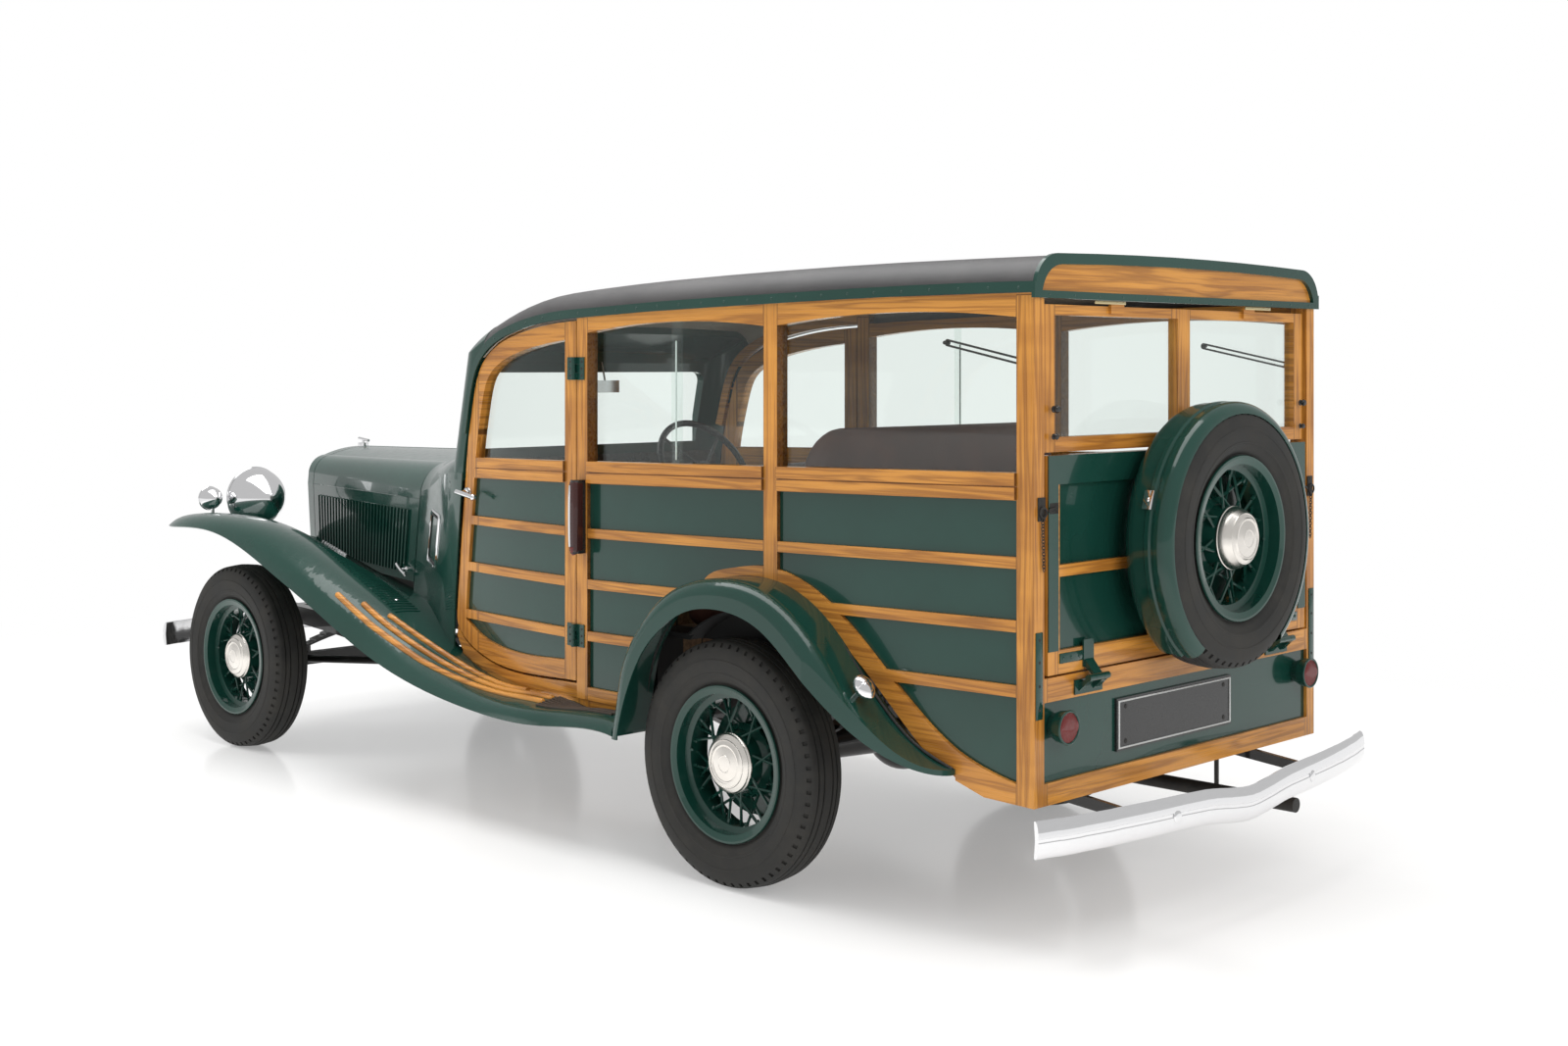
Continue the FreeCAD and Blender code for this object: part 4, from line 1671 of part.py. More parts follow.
    bright = [one.cut(parts["rear_wings"]).cut(parts["front_wings"]) for one in lamps + small_lamps()]
    bright += [one.cut(parts["cowl"]) for one in mirrors()] + [cap_ornament().cut(parts["radiator_shell"])]
    parts["bright_fittings"] = Part.makeCompound([largest(one) for one in bright])
    arm = direction_arms().cut(frame)
    parts["dark_fittings"] = Part.makeCompound([plate_backing(), arm, mirrored(arm)])
    return parts


if __name__ == "__main__":
    os.makedirs("parts", exist_ok=True)
    for name, shape in build().items():
        result = export(name, shape)
        print(name, len(result.Solids), "valid" if result.isValid() else "NOT VALID",
              round(result.Volume / 1e6, 3))
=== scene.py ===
"""Looks for a 1930s station wagon with an ash wood body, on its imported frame.

Places are in millimetres from the ground under the rear axle's middle, x forward and y to the left, and
at() puts them in the frame. Patterns of the finishes are in the frame's metres."""

import math

import bmesh
import bpy
from mathutils import Matrix, Vector
from mathutils.bvhtree import BVHTree


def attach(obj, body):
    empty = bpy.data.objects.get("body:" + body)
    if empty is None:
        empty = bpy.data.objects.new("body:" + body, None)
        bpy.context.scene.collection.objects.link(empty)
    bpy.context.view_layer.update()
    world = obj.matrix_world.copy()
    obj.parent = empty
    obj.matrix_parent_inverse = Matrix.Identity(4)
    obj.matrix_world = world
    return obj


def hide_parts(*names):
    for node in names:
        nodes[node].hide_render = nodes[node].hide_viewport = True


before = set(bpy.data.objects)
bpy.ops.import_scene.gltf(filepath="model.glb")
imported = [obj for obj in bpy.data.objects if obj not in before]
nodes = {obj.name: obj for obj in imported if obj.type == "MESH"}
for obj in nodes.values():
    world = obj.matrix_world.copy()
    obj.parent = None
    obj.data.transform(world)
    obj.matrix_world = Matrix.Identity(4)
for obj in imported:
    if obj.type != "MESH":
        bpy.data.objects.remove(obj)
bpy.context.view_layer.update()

AXLE_SHIFT = 1072.5             # from the rear axle forward to the frame's origin
AXLES = {"rear": (0.0, 720.0), "front": (2845.0, 678.0)}    # place along the car, half the track
TYRE_RADIUS = 357.0
SPARE = (-1150.0, 0.0, 1031.0)  # middle of the spare wheel
REAR_FACE = -1041.0             # outer face of the rear posts
BESIDE, ABOVE = 900.0, 1100.0   # where the lines that look for a surface start
SIDES = {"left": 1.0, "right": -1.0}
FORWARD, BACKWARD = Vector((1.0, 0.0, 0.0)), Vector((-1.0, 0.0, 0.0))
UP, DOWN = Vector((0.0, 0.0, 1.0)), Vector((0.0, 0.0, -1.0))
WHITE = (1.0, 1.0, 1.0, 1.0)


def mm(value):
    return value / 1000.0


def along(x):
    """A place along the car, in the frame's metres."""
    return mm(x - AXLE_SHIFT)


def at(x, y, z):
    return Vector((along(x), mm(y), mm(z)))


# Materials

class Value:
    """A socket of a finish that takes part in sums."""

    def __init__(self, finish, socket):
        self.finish = finish
        self.socket = socket

    def sum_of(self, operation, other, turned=False):
        pair = (other, self) if turned else (self, other)
        return self.finish.add("ShaderNodeMath", {"operation": operation}, {0: pair[0], 1: pair[1]})

    def __add__(self, other):
        return self.sum_of("ADD", other)

    __radd__ = __add__

    def __sub__(self, other):
        return self.sum_of("SUBTRACT", other)

    def __rsub__(self, other):
        return self.sum_of("SUBTRACT", other, turned=True)

    def __mul__(self, other):
        return self.sum_of("MULTIPLY", other)

    __rmul__ = __mul__

    def __truediv__(self, other):
        return self.sum_of("DIVIDE", other)

    def power(self, other):
        return self.sum_of("POWER", other)

    def above(self, limit):
        return self.sum_of("GREATER_THAN", limit)

    def sine(self):
        return self.finish.add("ShaderNodeMath", {"operation": "SINE"}, {0: self})

    def size(self):
        return self.finish.add("ShaderNodeMath", {"operation": "ABSOLUTE"}, {0: self})

    def ramp(self, low, high, smallest=0.0, largest=1.0):
        """Runs smoothly from smallest to largest as the value goes from low to high."""
        return self.finish.add("ShaderNodeMapRange", {"interpolation_type": "SMOOTHSTEP"},
                               {"Value": self, "From Min": low, "From Max": high,
                                "To Min": smallest, "To Max": largest})


class Nodes:
    """The nodes of a shader while it is made, and the one way that a node is added to them."""

    def __init__(self, holder):
        holder.use_nodes = True
        self.tree = holder.node_tree
        self.tree.nodes.clear()

    def add(self, kind, settings=None, sockets=None, out=0):
        node = self.tree.nodes.new(kind)
        for key, value in (settings or {}).items():
            setattr(node, key, value)
        for key, value in (sockets or {}).items():
            if isinstance(value, Value):
                self.tree.links.new(value.socket, node.inputs[key])
            else:
                node.inputs[key].default_value = value
        return Value(self, node.outputs[out])

    def add_output(self, shader, kind="ShaderNodeOutputMaterial"):
        node = self.tree.nodes.new(kind)
        self.tree.links.new(shader.socket, node.inputs["Surface"])


class Finish(Nodes):
    """A material while it is made."""

    def __init__(self, name):
        self.material = bpy.data.materials.new(name)
        super().__init__(self.material)

    def place(self, scale=(1.0, 1.0, 1.0), shift=(0.0, 0.0, 0.0)):
        """The piece's own coordinates in metres, stretched and shifted."""
        here = self.add("ShaderNodeTexCoord", out="Object")
        return self.add("ShaderNodeMapping", {}, {"Vector": here, "Scale": scale, "Location": shift})

    def axes(self):
        """The x, y and z of the piece's own coordinates."""
        here = self.add("ShaderNodeTexCoord", out="Object")
        return [self.add("ShaderNodeSeparateXYZ", {}, {0: here}, out=i) for i in range(3)]

    def noise(self, where, scale, detail=3.0, rough=0.5, distortion=0.0):
        return self.add("ShaderNodeTexNoise", {}, {"Vector": where, "Scale": scale, "Detail": detail,
                                                   "Roughness": rough, "Distortion": distortion})

    def cells(self, scale):
        """How far a place lies from the edge of its cell, for grained skins."""
        return self.add("ShaderNodeTexVoronoi", {"feature": "DISTANCE_TO_EDGE"},
                        {"Vector": self.place(), "Scale": scale})

    def mix(self, factor, first, second):
        """A colour or a vector between two others; the node's sockets share names, so they go by number."""
        first, second = [(*c, 1.0) if isinstance(c, tuple) else c for c in (first, second)]
        return self.add("ShaderNodeMix", {"data_type": "RGBA"}, {0: factor, 6: first, 7: second}, out=2)

    def blend(self, factor, first, second):
        """A number between two numbers."""
        return self.add("ShaderNodeMix", {"data_type": "FLOAT"}, {0: factor, 2: first, 3: second})

    def bump(self, height, strength, distance):
        return self.add("ShaderNodeBump", {},
                        {"Height": height, "Strength": strength, "Distance": distance})

    def close(self, **sockets):
        """The surface shader, which ends the material."""
        named = {key.replace("_", " "): value for key, value in sockets.items()}
        self.add_output(self.add("ShaderNodeBsdfPrincipled", {}, named))
        return self.material


def painted(name, deep, pale, rough=0.16):
    """Hand-polished coach paint: faint orange peel, dust in its sheen and small shade changes."""
    paint = Finish(name)
    cloud = paint.noise(paint.place(), 1.7, 4.0, 0.6)
    dust = paint.noise(paint.place(), 38.0, 5.0, 0.7)
    colour = paint.mix(cloud.ramp(0.35, 0.7), deep, pale)
    peel = paint.noise(paint.place(), 420.0, 2.0)
    return paint.close(Base_Color=colour, Roughness=dust.ramp(0.3, 0.8, rough, rough + 0.1),
                       Normal=paint.bump(peel, 0.04, 0.0003), Coat_Weight=0.6, Coat_Roughness=0.03,
                       Specular_IOR_Level=0.2)


def wood(name, upright):
    """Varnished ash: long wavy growth lines and fine open pores along each member.

    upright is a function of x, y and z that is 1 on members standing up."""
    pale, mid, dark = (0.66, 0.29, 0.050), (0.52, 0.215, 0.035), (0.19, 0.062, 0.011)
    joint = (0.05, 0.018, 0.006)
    ash = Finish(name)
    stands = upright(*ash.axes())
    where = ash.mix(stands, ash.place((0.55, 0.55, 13.0)), ash.place((13.0, 13.0, 0.55), (3.0, 1.0, 7.0)))
    bend = ash.noise(where, 1.1, 2.0)
    rings = ash.noise(where, 2.3, distortion=0.35)
    lines = ((rings * 30.0 + bend * 6.0).sine() * 0.5 + 0.5).power(1.7)
    pores = ash.mix(stands, ash.place((2.0, 2.0, 150.0)), ash.place((150.0, 150.0, 2.0)))
    fine = ash.noise(pores, 1.6, rough=0.6)
    tone = ash.noise(ash.place((0.9, 0.9, 5.0)), 2.2, 2.0)
    grained = ash.mix(lines * 0.56, ash.mix(tone.ramp(0.3, 0.7), mid, pale), dark)
    pored = ash.mix(fine.ramp(0.48, 0.75) * 0.35, grained, dark)
    seam = stands * (1.0 - stands) * 4.0
    height = lines * -0.4 + fine * 0.6 + seam * -2.0
    return ash.close(Base_Color=ash.mix(seam.ramp(0.1, 0.7) * 0.8, pored, joint),
                     Roughness=fine.ramp(0.3, 0.8, 0.24, 0.38), Normal=ash.bump(height, 0.2, 0.0005),
                     Coat_Weight=0.3, Coat_Roughness=0.1, Specular_IOR_Level=0.3)


def window(value, low, high, soft=0.002):
    """1 where a value lies between two limits, in metres."""
    return value.ramp(low - soft, low + soft) * value.ramp(high - soft, high + soft, 1.0, 0.0)


def never(x, y, z):
    return x * 0.0


def frame_posts(x, y, z):
    """The posts of the body: at the rear corners, between the bays and behind the doors."""
    total = window(x, along(-1045.0), along(-985.0)) * y.size().ramp(0.640, 0.644)
    for rear, front in ((-131.0, -75.0), (727.0, 784.0)):
        total = total + window(x, along(rear), along(front))
    return total * z.ramp(1.676, 1.680, 1.0, 0.0)


def door_stiles(x, y, z):
    """The rear stile of a door, and the front one with its rounded corner."""
    rear = window(x, along(780.0), along(848.0))
    front = x.ramp(along(1372.0), along(1380.0))
    return rear + front - rear * front


def gate_stiles(x, y, z):
    """The upright members of the tailgate and of the lifting window, with its middle bar."""
    return y.size().ramp(0.596, 0.600) + window(y, -0.030, 0.062) * z.ramp(1.30, 1.31)


def rubber(name):
    """Tyre rubber: matt, dusty, a little brown on the walls."""
    black = Finish(name)
    dust = black.noise(black.place(), 9.0, 5.0, 0.65)
    grit = black.noise(black.place(), 320.0, 3.0)
    colour = black.mix(dust.ramp(0.3, 0.75), (0.019, 0.019, 0.018), (0.038, 0.036, 0.032))
    return black.close(Base_Color=colour, Roughness=dust.ramp(0.3, 0.7, 0.62, 0.8),
                       Normal=black.bump(grit, 0.2, 0.0005), Specular_IOR_Level=0.35)


def leatherette(name):
    """Roof covering: pebbled grain greyed by dust, with pale head lining where it faces down."""
    skin = Finish(name)
    dust = skin.noise(skin.place(), 2.6, 5.0, 0.6)
    normal = skin.add("ShaderNodeNewGeometry", out="Normal")
    lining = skin.add("ShaderNodeSeparateXYZ", {}, {0: normal}, out=2).ramp(-0.6, -0.2, 1.0, 0.0)
    top = skin.mix(dust.ramp(0.3, 0.75), (0.030, 0.029, 0.030), (0.060, 0.057, 0.057))
    weave = skin.noise(skin.place(), 240.0).ramp(0.3, 0.7)
    cloth = skin.mix(weave, (0.42, 0.36, 0.29), (0.50, 0.44, 0.36))
    return skin.close(Base_Color=skin.mix(lining, top, cloth), Roughness=skin.blend(lining, 0.42, 0.95),
                      Normal=skin.bump(skin.cells(330.0).ramp(0.0, 0.25), 0.35, 0.0005))


def leather(name, deep, pale):
    """Seat leather: fine creases, worn paler where it is sat on."""
    hide = Finish(name)
    wear = hide.noise(hide.place(), 5.0, 5.0, 0.6)
    fold = hide.noise(hide.place((1.0, 1.0, 2.6)), 16.0, 4.0, 0.6, 1.0)
    return hide.close(Base_Color=hide.mix(wear.ramp(0.35, 0.75), deep, pale),
                      Roughness=wear.ramp(0.3, 0.7, 0.42, 0.58),
                      Normal=hide.bump(hide.cells(210.0).ramp(0.0, 0.3) * 0.5 + fold, 0.3, 0.0012))


def bright_metal(name, colour, rough):
    """Polished or satin plating with faint wipe marks."""
    plate = Finish(name)
    wipes = plate.noise(plate.place((1.0, 1.0, 4.0)), 26.0, 5.0, 0.7)
    tone = plate.mix(wipes.ramp(0.3, 0.8), colour, tuple(c * 0.97 for c in colour))
    return plate.close(Base_Color=tone, Metallic=1.0,
                       Roughness=wipes.ramp(0.3, 0.8, rough, rough + 0.04))


def raw_metal(name, deep, pale, metal, rough):
    """Chassis parts: brushed-on paint or bare iron with road dust."""
    iron = Finish(name)
    grime = iron.noise(iron.place(), 14.0, 6.0, 0.7)
    pits = iron.noise(iron.place(), 160.0, 4.0)
    colour = iron.mix(grime.ramp(0.35, 0.75), deep, pale)
    return iron.close(Base_Color=colour, Metallic=metal,
                      Roughness=grime.ramp(0.3, 0.7, rough, rough + 0.25),
                      Normal=iron.bump(pits, 0.25, 0.0008))


def clear_glass(name):
    """Thin window glass: it lets the view and the light through and reflects a little of the room."""
    facing, slanting = 0.035, 0.55
    glass = Finish(name)
    through = glass.add("ShaderNodeBsdfTransparent", {}, {"Color": (0.965, 0.985, 0.975, 1.0)})
    face = glass.add("ShaderNodeBsdfPrincipled", {}, {"Base Color": (0.80, 0.83, 0.82, 1.0),
                                                      "Roughness": 0.02, "Metallic": 1.0})
    slant = glass.add("ShaderNodeLayerWeight", {}, {"Blend": 0.12})
    share = slant * slanting + facing
    glass.add_output(glass.add("ShaderNodeMixShader", {}, {0: share, 1: through, 2: face}))
    return glass.material


def boards(name):
    """Oiled floor boards running along the car, with dark joints, between black wheel boxes."""
    board_width, box_side = 0.11, 0.545
    deck = Finish(name)
    x, y, z = deck.axes()
    grain = deck.noise(deck.place((1.2, 22.0, 22.0)), 4.0, 5.0, 0.6)
    oiled = deck.mix(grain.ramp(0.3, 0.7), (0.13, 0.075, 0.038), (0.26, 0.16, 0.085))
    joint = (y * (2.0 * math.pi / board_width)).sine().above(0.985)
    planks = deck.mix(joint, oiled, (0.03, 0.02, 0.012))
    wheel_box = y.size().ramp(box_side, box_side + 0.005)
    return deck.close(Base_Color=deck.mix(wheel_box, planks, (0.012, 0.012, 0.012)), Roughness=0.6,
                      Normal=deck.bump(grain, 0.2, 0.0008))


GREEN = painted("coach_green", (0.0060, 0.040, 0.029), (0.0085, 0.050, 0.037))
BLACK = painted("frame_black", (0.010, 0.010, 0.010), (0.018, 0.017, 0.016), 0.3)
PLASTIC = painted("fitting_black", (0.012, 0.012, 0.012), (0.018, 0.018, 0.018), 0.22)
ASH_FRAME = wood("ash_body_frame", frame_posts)
ASH_DOOR = wood("ash_door_frame", door_stiles)
ASH_GATE = wood("ash_gate_frame", gate_stiles)
ASH_STRIP = wood("ash_rub_strips", never)
RUBBER = rubber("tyre_rubber")
ROOFING = leatherette("roof_leatherette")
HIDE = leather("seat_leather", (0.080, 0.028, 0.020), (0.15, 0.062, 0.045))
CHROME = bright_metal("chrome_plate", (0.82, 0.82, 0.83), 0.06)
STEEL = raw_metal("dark_steel", (0.030, 0.029, 0.028), (0.06, 0.055, 0.05), 0.5, 0.45)
IRON = raw_metal("cast_iron", (0.018, 0.018, 0.018), (0.045, 0.042, 0.038), 0.2, 0.6)
GLASS = clear_glass("window_glass")
DECK = boards("floor_boards")
BRASS = bright_metal("pale_brass", (0.62, 0.52, 0.30), 0.16)
RED = painted("red_lens", (0.115, 0.005, 0.004), (0.16, 0.007, 0.005), 0.10)
WELT = leather("wing_welt", (0.012, 0.012, 0.012), (0.030, 0.029, 0.028))
PLATE_LINE = painted("plate_line", (0.58, 0.59, 0.58), (0.64, 0.65, 0.64), 0.4)
SATIN = bright_metal("satin_nickel", (0.80, 0.765, 0.715), 0.24)
MAROON = painted("arm_maroon", (0.032, 0.008, 0.007), (0.048, 0.012, 0.010), 0.2)
SLAT = raw_metal("dark_step_wood", (0.035, 0.024, 0.017), (0.075, 0.052, 0.036), 0.0, 0.5)
PANE_EDGE = painted("pane_edge", (0.55, 0.66, 0.62), (0.66, 0.75, 0.71), 0.3)

NODE_FINISH = {
    GREEN: ["body_panels", "body_fittings", "gutter", "cowl", "radiator_shell", "bonnet_top_left",
            "bonnet_top_right", "bonnet_side_left", "bonnet_side_right", "front_wings", "rear_wings",
            "door_left_panel", "door_right_panel", "tailgate_panel", "spare_cover", "spare_wheel",
            "wheel_rear_left", "wheel_rear_right", "wheel_front_left", "wheel_front_right"],
    ASH_FRAME: ["body_frame"],
    ASH_DOOR: ["door_left_frame", "door_right_frame"],
    ASH_GATE: ["tailgate_frame", "lift_frame"],
    ASH_STRIP: ["rub_strips"],
    RUBBER: ["tyre_rear_left", "tyre_rear_right", "tyre_front_left", "tyre_front_right", "spare_tyre"],
    ROOFING: ["roof"],
    HIDE: ["seats"],
    CHROME: ["bumpers", "bright_fittings", "grille"],
    BLACK: ["chassis", "front_axle", "rear_axle", "knuckle_left", "knuckle_right"],
    STEEL: ["exhaust"],
    IRON: ["engine"],
    GLASS: ["body_glass", "door_left_glass", "door_right_glass", "lift_glass"],
    DECK: ["floor"],
    PLASTIC: ["steering_wheel", "dashboard", "dark_fittings"],
}
for material, names in NODE_FINISH.items():
    for name in names:
        node = nodes[name]
        node.data.materials.clear()
        node.data.materials.append(material)


# Making pieces

def finished(name, bm, material, body, stands_for=(), sharp=38.0):
    """Closes a bmesh as a piece of the car: outward faces, smooth up to an angle, riding on a body."""
    bmesh.ops.remove_doubles(bm, verts=bm.verts, dist=1e-5)
    bmesh.ops.recalc_face_normals(bm, faces=bm.faces)
    mesh = bpy.data.meshes.new(name)
    bm.to_mesh(mesh)
    bm.free()
    mesh.shade_smooth()
    mesh.set_sharp_from_angle(angle=math.radians(sharp))
    mesh.materials.append(material)
    piece = bpy.data.objects.new(name, mesh)
    bpy.context.scene.collection.objects.link(piece)
    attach(piece, body)
    if stands_for:
        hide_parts(*stands_for)
    return piece


def lathe(bm, profile, middle, axis, steps=48, closed=False):
    """Spins a profile of (radius, distance along the axis) in millimetres round an axis."""
    axis = Vector(axis).normalized()
    side = axis.orthogonal().normalized()
    points = [bm.verts.new(middle + side * mm(r) + axis * mm(d)) for r, d in profile]
    pairs = list(zip(points, points[1:])) + ([(points[-1], points[0])] if closed else [])
    edges = [bm.edges.new(pair) for pair in pairs]
    bmesh.ops.spin(bm, geom=points + edges, cent=middle, axis=axis, dvec=(0.0, 0.0, 0.0),
                   angle=2.0 * math.pi, steps=steps, use_merge=True)


def ring(bm, middle, axis, radius, thick, steps=32, sides=8):
    """A round ring; radius and thickness in millimetres."""
    turns = [2.0 * math.pi * k / sides for k in range(sides)]
    section = [(radius + thick * math.cos(a), thick * math.sin(a)) for a in turns]
    lathe(bm, section, middle, axis, steps, True)


def bar(bm, start, end, radius, sides=12, radius_end=None):
    """A round bar between two places, its radius in millimetres."""
    run = end - start
    far = radius if radius_end is None else radius_end
    bmesh.ops.create_cone(bm, cap_ends=True, segments=sides, radius1=mm(radius), radius2=mm(far),
                          depth=run.length, matrix=Matrix.Translation((start + end) / 2.0)
                          @ run.to_track_quat("Z", "Y").to_matrix().to_4x4())


def rounded(bm, edges, radius, segments, clamp=True):
    """Rounds edges to a radius in millimetres."""
    bmesh.ops.bevel(bm, geom=edges, offset=mm(radius), segments=segments, profile=0.5, affect="EDGES",
                    material=-1, clamp_overlap=clamp)


def edges_of(made):
    return list({edge for vert in made["verts"] for edge in vert.link_edges})


def block(bm, low, high, soft=0.0, segments=2):
    """A block between two corners, with rounded edges."""
    a, b = at(*low), at(*high)
    matrix = Matrix.Translation((a + b) / 2.0) @ Matrix.Diagonal((*(b - a), 1.0))
    made = bmesh.ops.create_cube(bm, size=1.0, matrix=matrix)
    if soft:
        rounded(bm, edges_of(made), soft, segments)


def side_block(bm, s, low, high, soft, segments=2):
    """A block on one side of the car, its corners given as on the left."""
    near, far = sorted((s * low[1], s * high[1]))
    block(bm, (low[0], near, low[2]), (high[0], far, high[2]), soft, segments)


def dome(bm, spot, normal, radius, height, sides=10):
    """A low round head on a surface, its sizes in millimetres."""
    matrix = Matrix.Translation(spot) @ normal.to_track_quat("Z", "Y").to_matrix().to_4x4() \
        @ Matrix.Diagonal((mm(radius), mm(radius), mm(height), 1.0))
    bmesh.ops.create_uvsphere(bm, u_segments=sides, v_segments=6, radius=1.0, matrix=matrix)


def wire(bm, places, radius, closed=False, smooth=True, fine=2):
    """A round rod or bead, its radius in millimetres, that follows places."""
    curve = bpy.data.curves.new("wire", "CURVE")
    curve.dimensions = "3D"
    curve.bevel_depth = mm(radius)
    curve.bevel_resolution = fine
    curve.use_fill_caps = not closed
    line = curve.splines.new("NURBS" if smooth else "POLY")
    line.points.add(len(places) - 1)
    for point, place in zip(line.points, places):
        point.co = (*place, 1.0)
    line.use_cyclic_u = closed
    if smooth:
        line.order_u = 3
        line.use_endpoint_u = not closed
        line.resolution_u = 3
    carrier = bpy.data.objects.new("wire", curve)
    mesh = bpy.data.meshes.new_from_object(carrier)
    bm.from_mesh(mesh)
    bpy.data.objects.remove(carrier)
    bpy.data.meshes.remove(mesh)
    bpy.data.curves.remove(curve)


def swept(bm, stations, section):
    """A bar whose closed section, in millimetres, follows stations of an origin and two directions."""
    rows, columns = len(stations) - 1, len(section)
    made = bmesh.ops.create_grid(bm, x_segments=rows, y_segments=columns, size=0.5)["verts"]
    for vert in made:
        origin, across, up = stations[round((vert.co.x + 0.5) * rows)]
        a, b = section[round((vert.co.y + 0.5) * columns) % columns]
        vert.co = origin + across * mm(a) + up * mm(b)
    bmesh.ops.remove_doubles(bm, verts=made, dist=1e-6)
    bmesh.ops.holes_fill(bm, edges=[edge for edge in bm.edges if len(edge.link_faces) == 1], sides=0)


def arc(a, b, c, count):
    """Points on the circle through three points of a section."""
    (ax, ay), (bx, by), (cx, cy) = a, b, c
    turn = 2.0 * (ax * (by - cy) + bx * (cy - ay) + cx * (ay - by))
    sa, sb, sc = ax * ax + ay * ay, bx * bx + by * by, cx * cx + cy * cy
    x = (sa * (by - cy) + sb * (cy - ay) + sc * (ay - by)) / turn
    y = (sa * (cx - bx) + sb * (ax - cx) + sc * (bx - ax)) / turn
    first, middle, last = (math.atan2(q - y, p - x) for p, q in (a, b, c))
    while abs(middle - first) > math.pi:
        middle += math.copysign(2.0 * math.pi, first - middle)
    while abs(last - middle) > math.pi:
        last += math.copysign(2.0 * math.pi, middle - last)
    radius = math.hypot(ax - x, ay - y)
    angles = [first + (last - first) * k / count for k in range(count + 1)]
    return [(x + radius * math.cos(q), y + radius * math.sin(q)) for q in angles]


def skin_of(*names):
    """The surface of some nodes, on which small fittings are set."""
    bm = bmesh.new()
    for name in names:
        bm.from_mesh(nodes[name].data)
    skin = BVHTree.FromBMesh(bm)
    bm.free()
    return skin


def touch(skin, start, way):
    """Where a line from a point first meets a surface, and which way that surface faces."""
    spot, normal, face, far = skin.ray_cast(at(*start), Vector(way).normalized())
    if spot is None:
        return None, None
    return spot, normal if normal.dot(Vector(way)) < 0.0 else -normal


def side_touch(skin, x, z, s):
    """Where a level line from beside the car meets a surface."""
    return touch(skin, (x, s * BESIDE, z), (0.0, -s, 0.0))


def top_touch(skin, x, y, z=ABOVE):
    """Where a plumb line from above meets a surface."""
    return touch(skin, (x, y, z), DOWN)


def met(touches):
    """Those of a row of touches that met a surface."""
    return [(spot, normal) for spot, normal in touches if spot is not None]


def on_side(touches):
    """Those of a row of touches that met the side of the body, not what stands inside it."""
    return [(spot, normal) for spot, normal in met(touches) if abs(spot.y) > mm(600.0)]


# Wheels

TREAD_STEPS = 192
SPOKE_PAIRS = 16


def wheel_places():
    """Name, hub centre, outward direction and body of each wheel, the spare last."""
    for axle, (x, half_track) in AXLES.items():
        for side, s in SIDES.items():
            corner = axle + "_" + side
            yield corner, at(x, s * half_track, TYRE_RADIUS), Vector((0.0, s, 0.0)), "wheel_" + corner
    yield "spare", at(*SPARE), BACKWARD, "tailgate"


def treaded_tyre(corner, middle, out, body):
    """Tyre with raised rings on the wall, notched shoulders and a tread of five ribs."""
    wall = [(207.5, 55.0), (228.5, 55.0), (232.0, 58.5), (246.0, 68.0), (256.0, 72.6), (257.5, 74.6),
            (262.0, 75.6), (263.5, 74.8), (280.0, 77.4), (295.0, 77.8), (296.0, 79.0), (300.0, 78.8),
            (301.0, 77.4), (316.0, 75.2), (330.0, 70.6), (335.0, 68.2), (346.5, 60.0), (349.5, 56.0),
            (351.8, 50.0), (353.2, 39.0), (348.0, 37.6), (348.0, 34.4), (353.8, 33.0), (355.4, 20.0),
            (349.6, 18.4), (349.6, 15.2), (355.8, 13.6), (356.9, 0.0)]
    shoulder, shoulder_radius, every = (62.0, 66.5), 338.0, 3
    bm = bmesh.new()
    lathe(bm, wall + [(r, -d) for r, d in reversed(wall[:-1])], middle, out, TREAD_STEPS, True)
    bmesh.ops.remove_doubles(bm, verts=bm.verts, dist=1e-5)
    bmesh.ops.recalc_face_normals(bm, faces=bm.faces)
    across = out.orthogonal().normalized()
    upward = out.cross(across)
    notches = []
    for face in bm.faces:
        arm = face.calc_center_median() - middle
        depth = arm.dot(out)
        radius = (arm - out * depth).length
        if mm(shoulder[0]) < abs(depth) < mm(shoulder[1]) and radius > mm(shoulder_radius):
            turn = math.atan2(arm.dot(upward), arm.dot(across)) / (2.0 * math.pi)
            if int(round(turn * TREAD_STEPS - 0.5)) % every == 0:
                notches.append(face)
    bmesh.ops.inset_individual(bm, faces=notches, thickness=mm(1.2), depth=mm(-5.0))
    node = "spare_tyre" if corner == "spare" else "tyre_" + corner
    finished("treaded_tyre_" + corner, bm, RUBBER, body, [node], 30.0)


# Radius, distance along the axis, and the share of the spare's higher crown that a ring takes part in.
CAP_PROFILE = [(0.0, 62.5, 1.0), (14.0, 62.2, 1.0), (22.0, 61.6, 1.0), (23.0, 62.4, 1.0),
               (25.0, 62.4, 1.0), (26.0, 61.3, 1.0), (44.0, 58.6, 1.0), (49.0, 57.6, 1.0),
               (51.0, 59.2, 1.0), (55.0, 59.4, 1.0), (58.0, 57.4, 0.9), (66.0, 55.6, 0.8),
               (67.0, 56.6, 0.78), (69.5, 56.2, 0.76), (70.5, 54.2, 0.75), (78.0, 50.0, 0.5),
               (83.0, 46.0, 0.2), (85.6, 40.4, 0.0), (87.5, 38.6, 0.0), (87.5, 35.0, 0.0), (84.0, 34.0, 0.0)]


def hub_cap(corner, middle, out, body):
    """Plain satin cap with raised rings, over the painted hub."""
    rise = 24.0 if corner == "spare" else 0.0
    bm = bmesh.new()
    lathe(bm, [(r, d + rise * share) for r, d, share in CAP_PROFILE], middle, out, 96)
    finished("hub_cap_" + corner, bm, SATIN, body, (), 25.0)


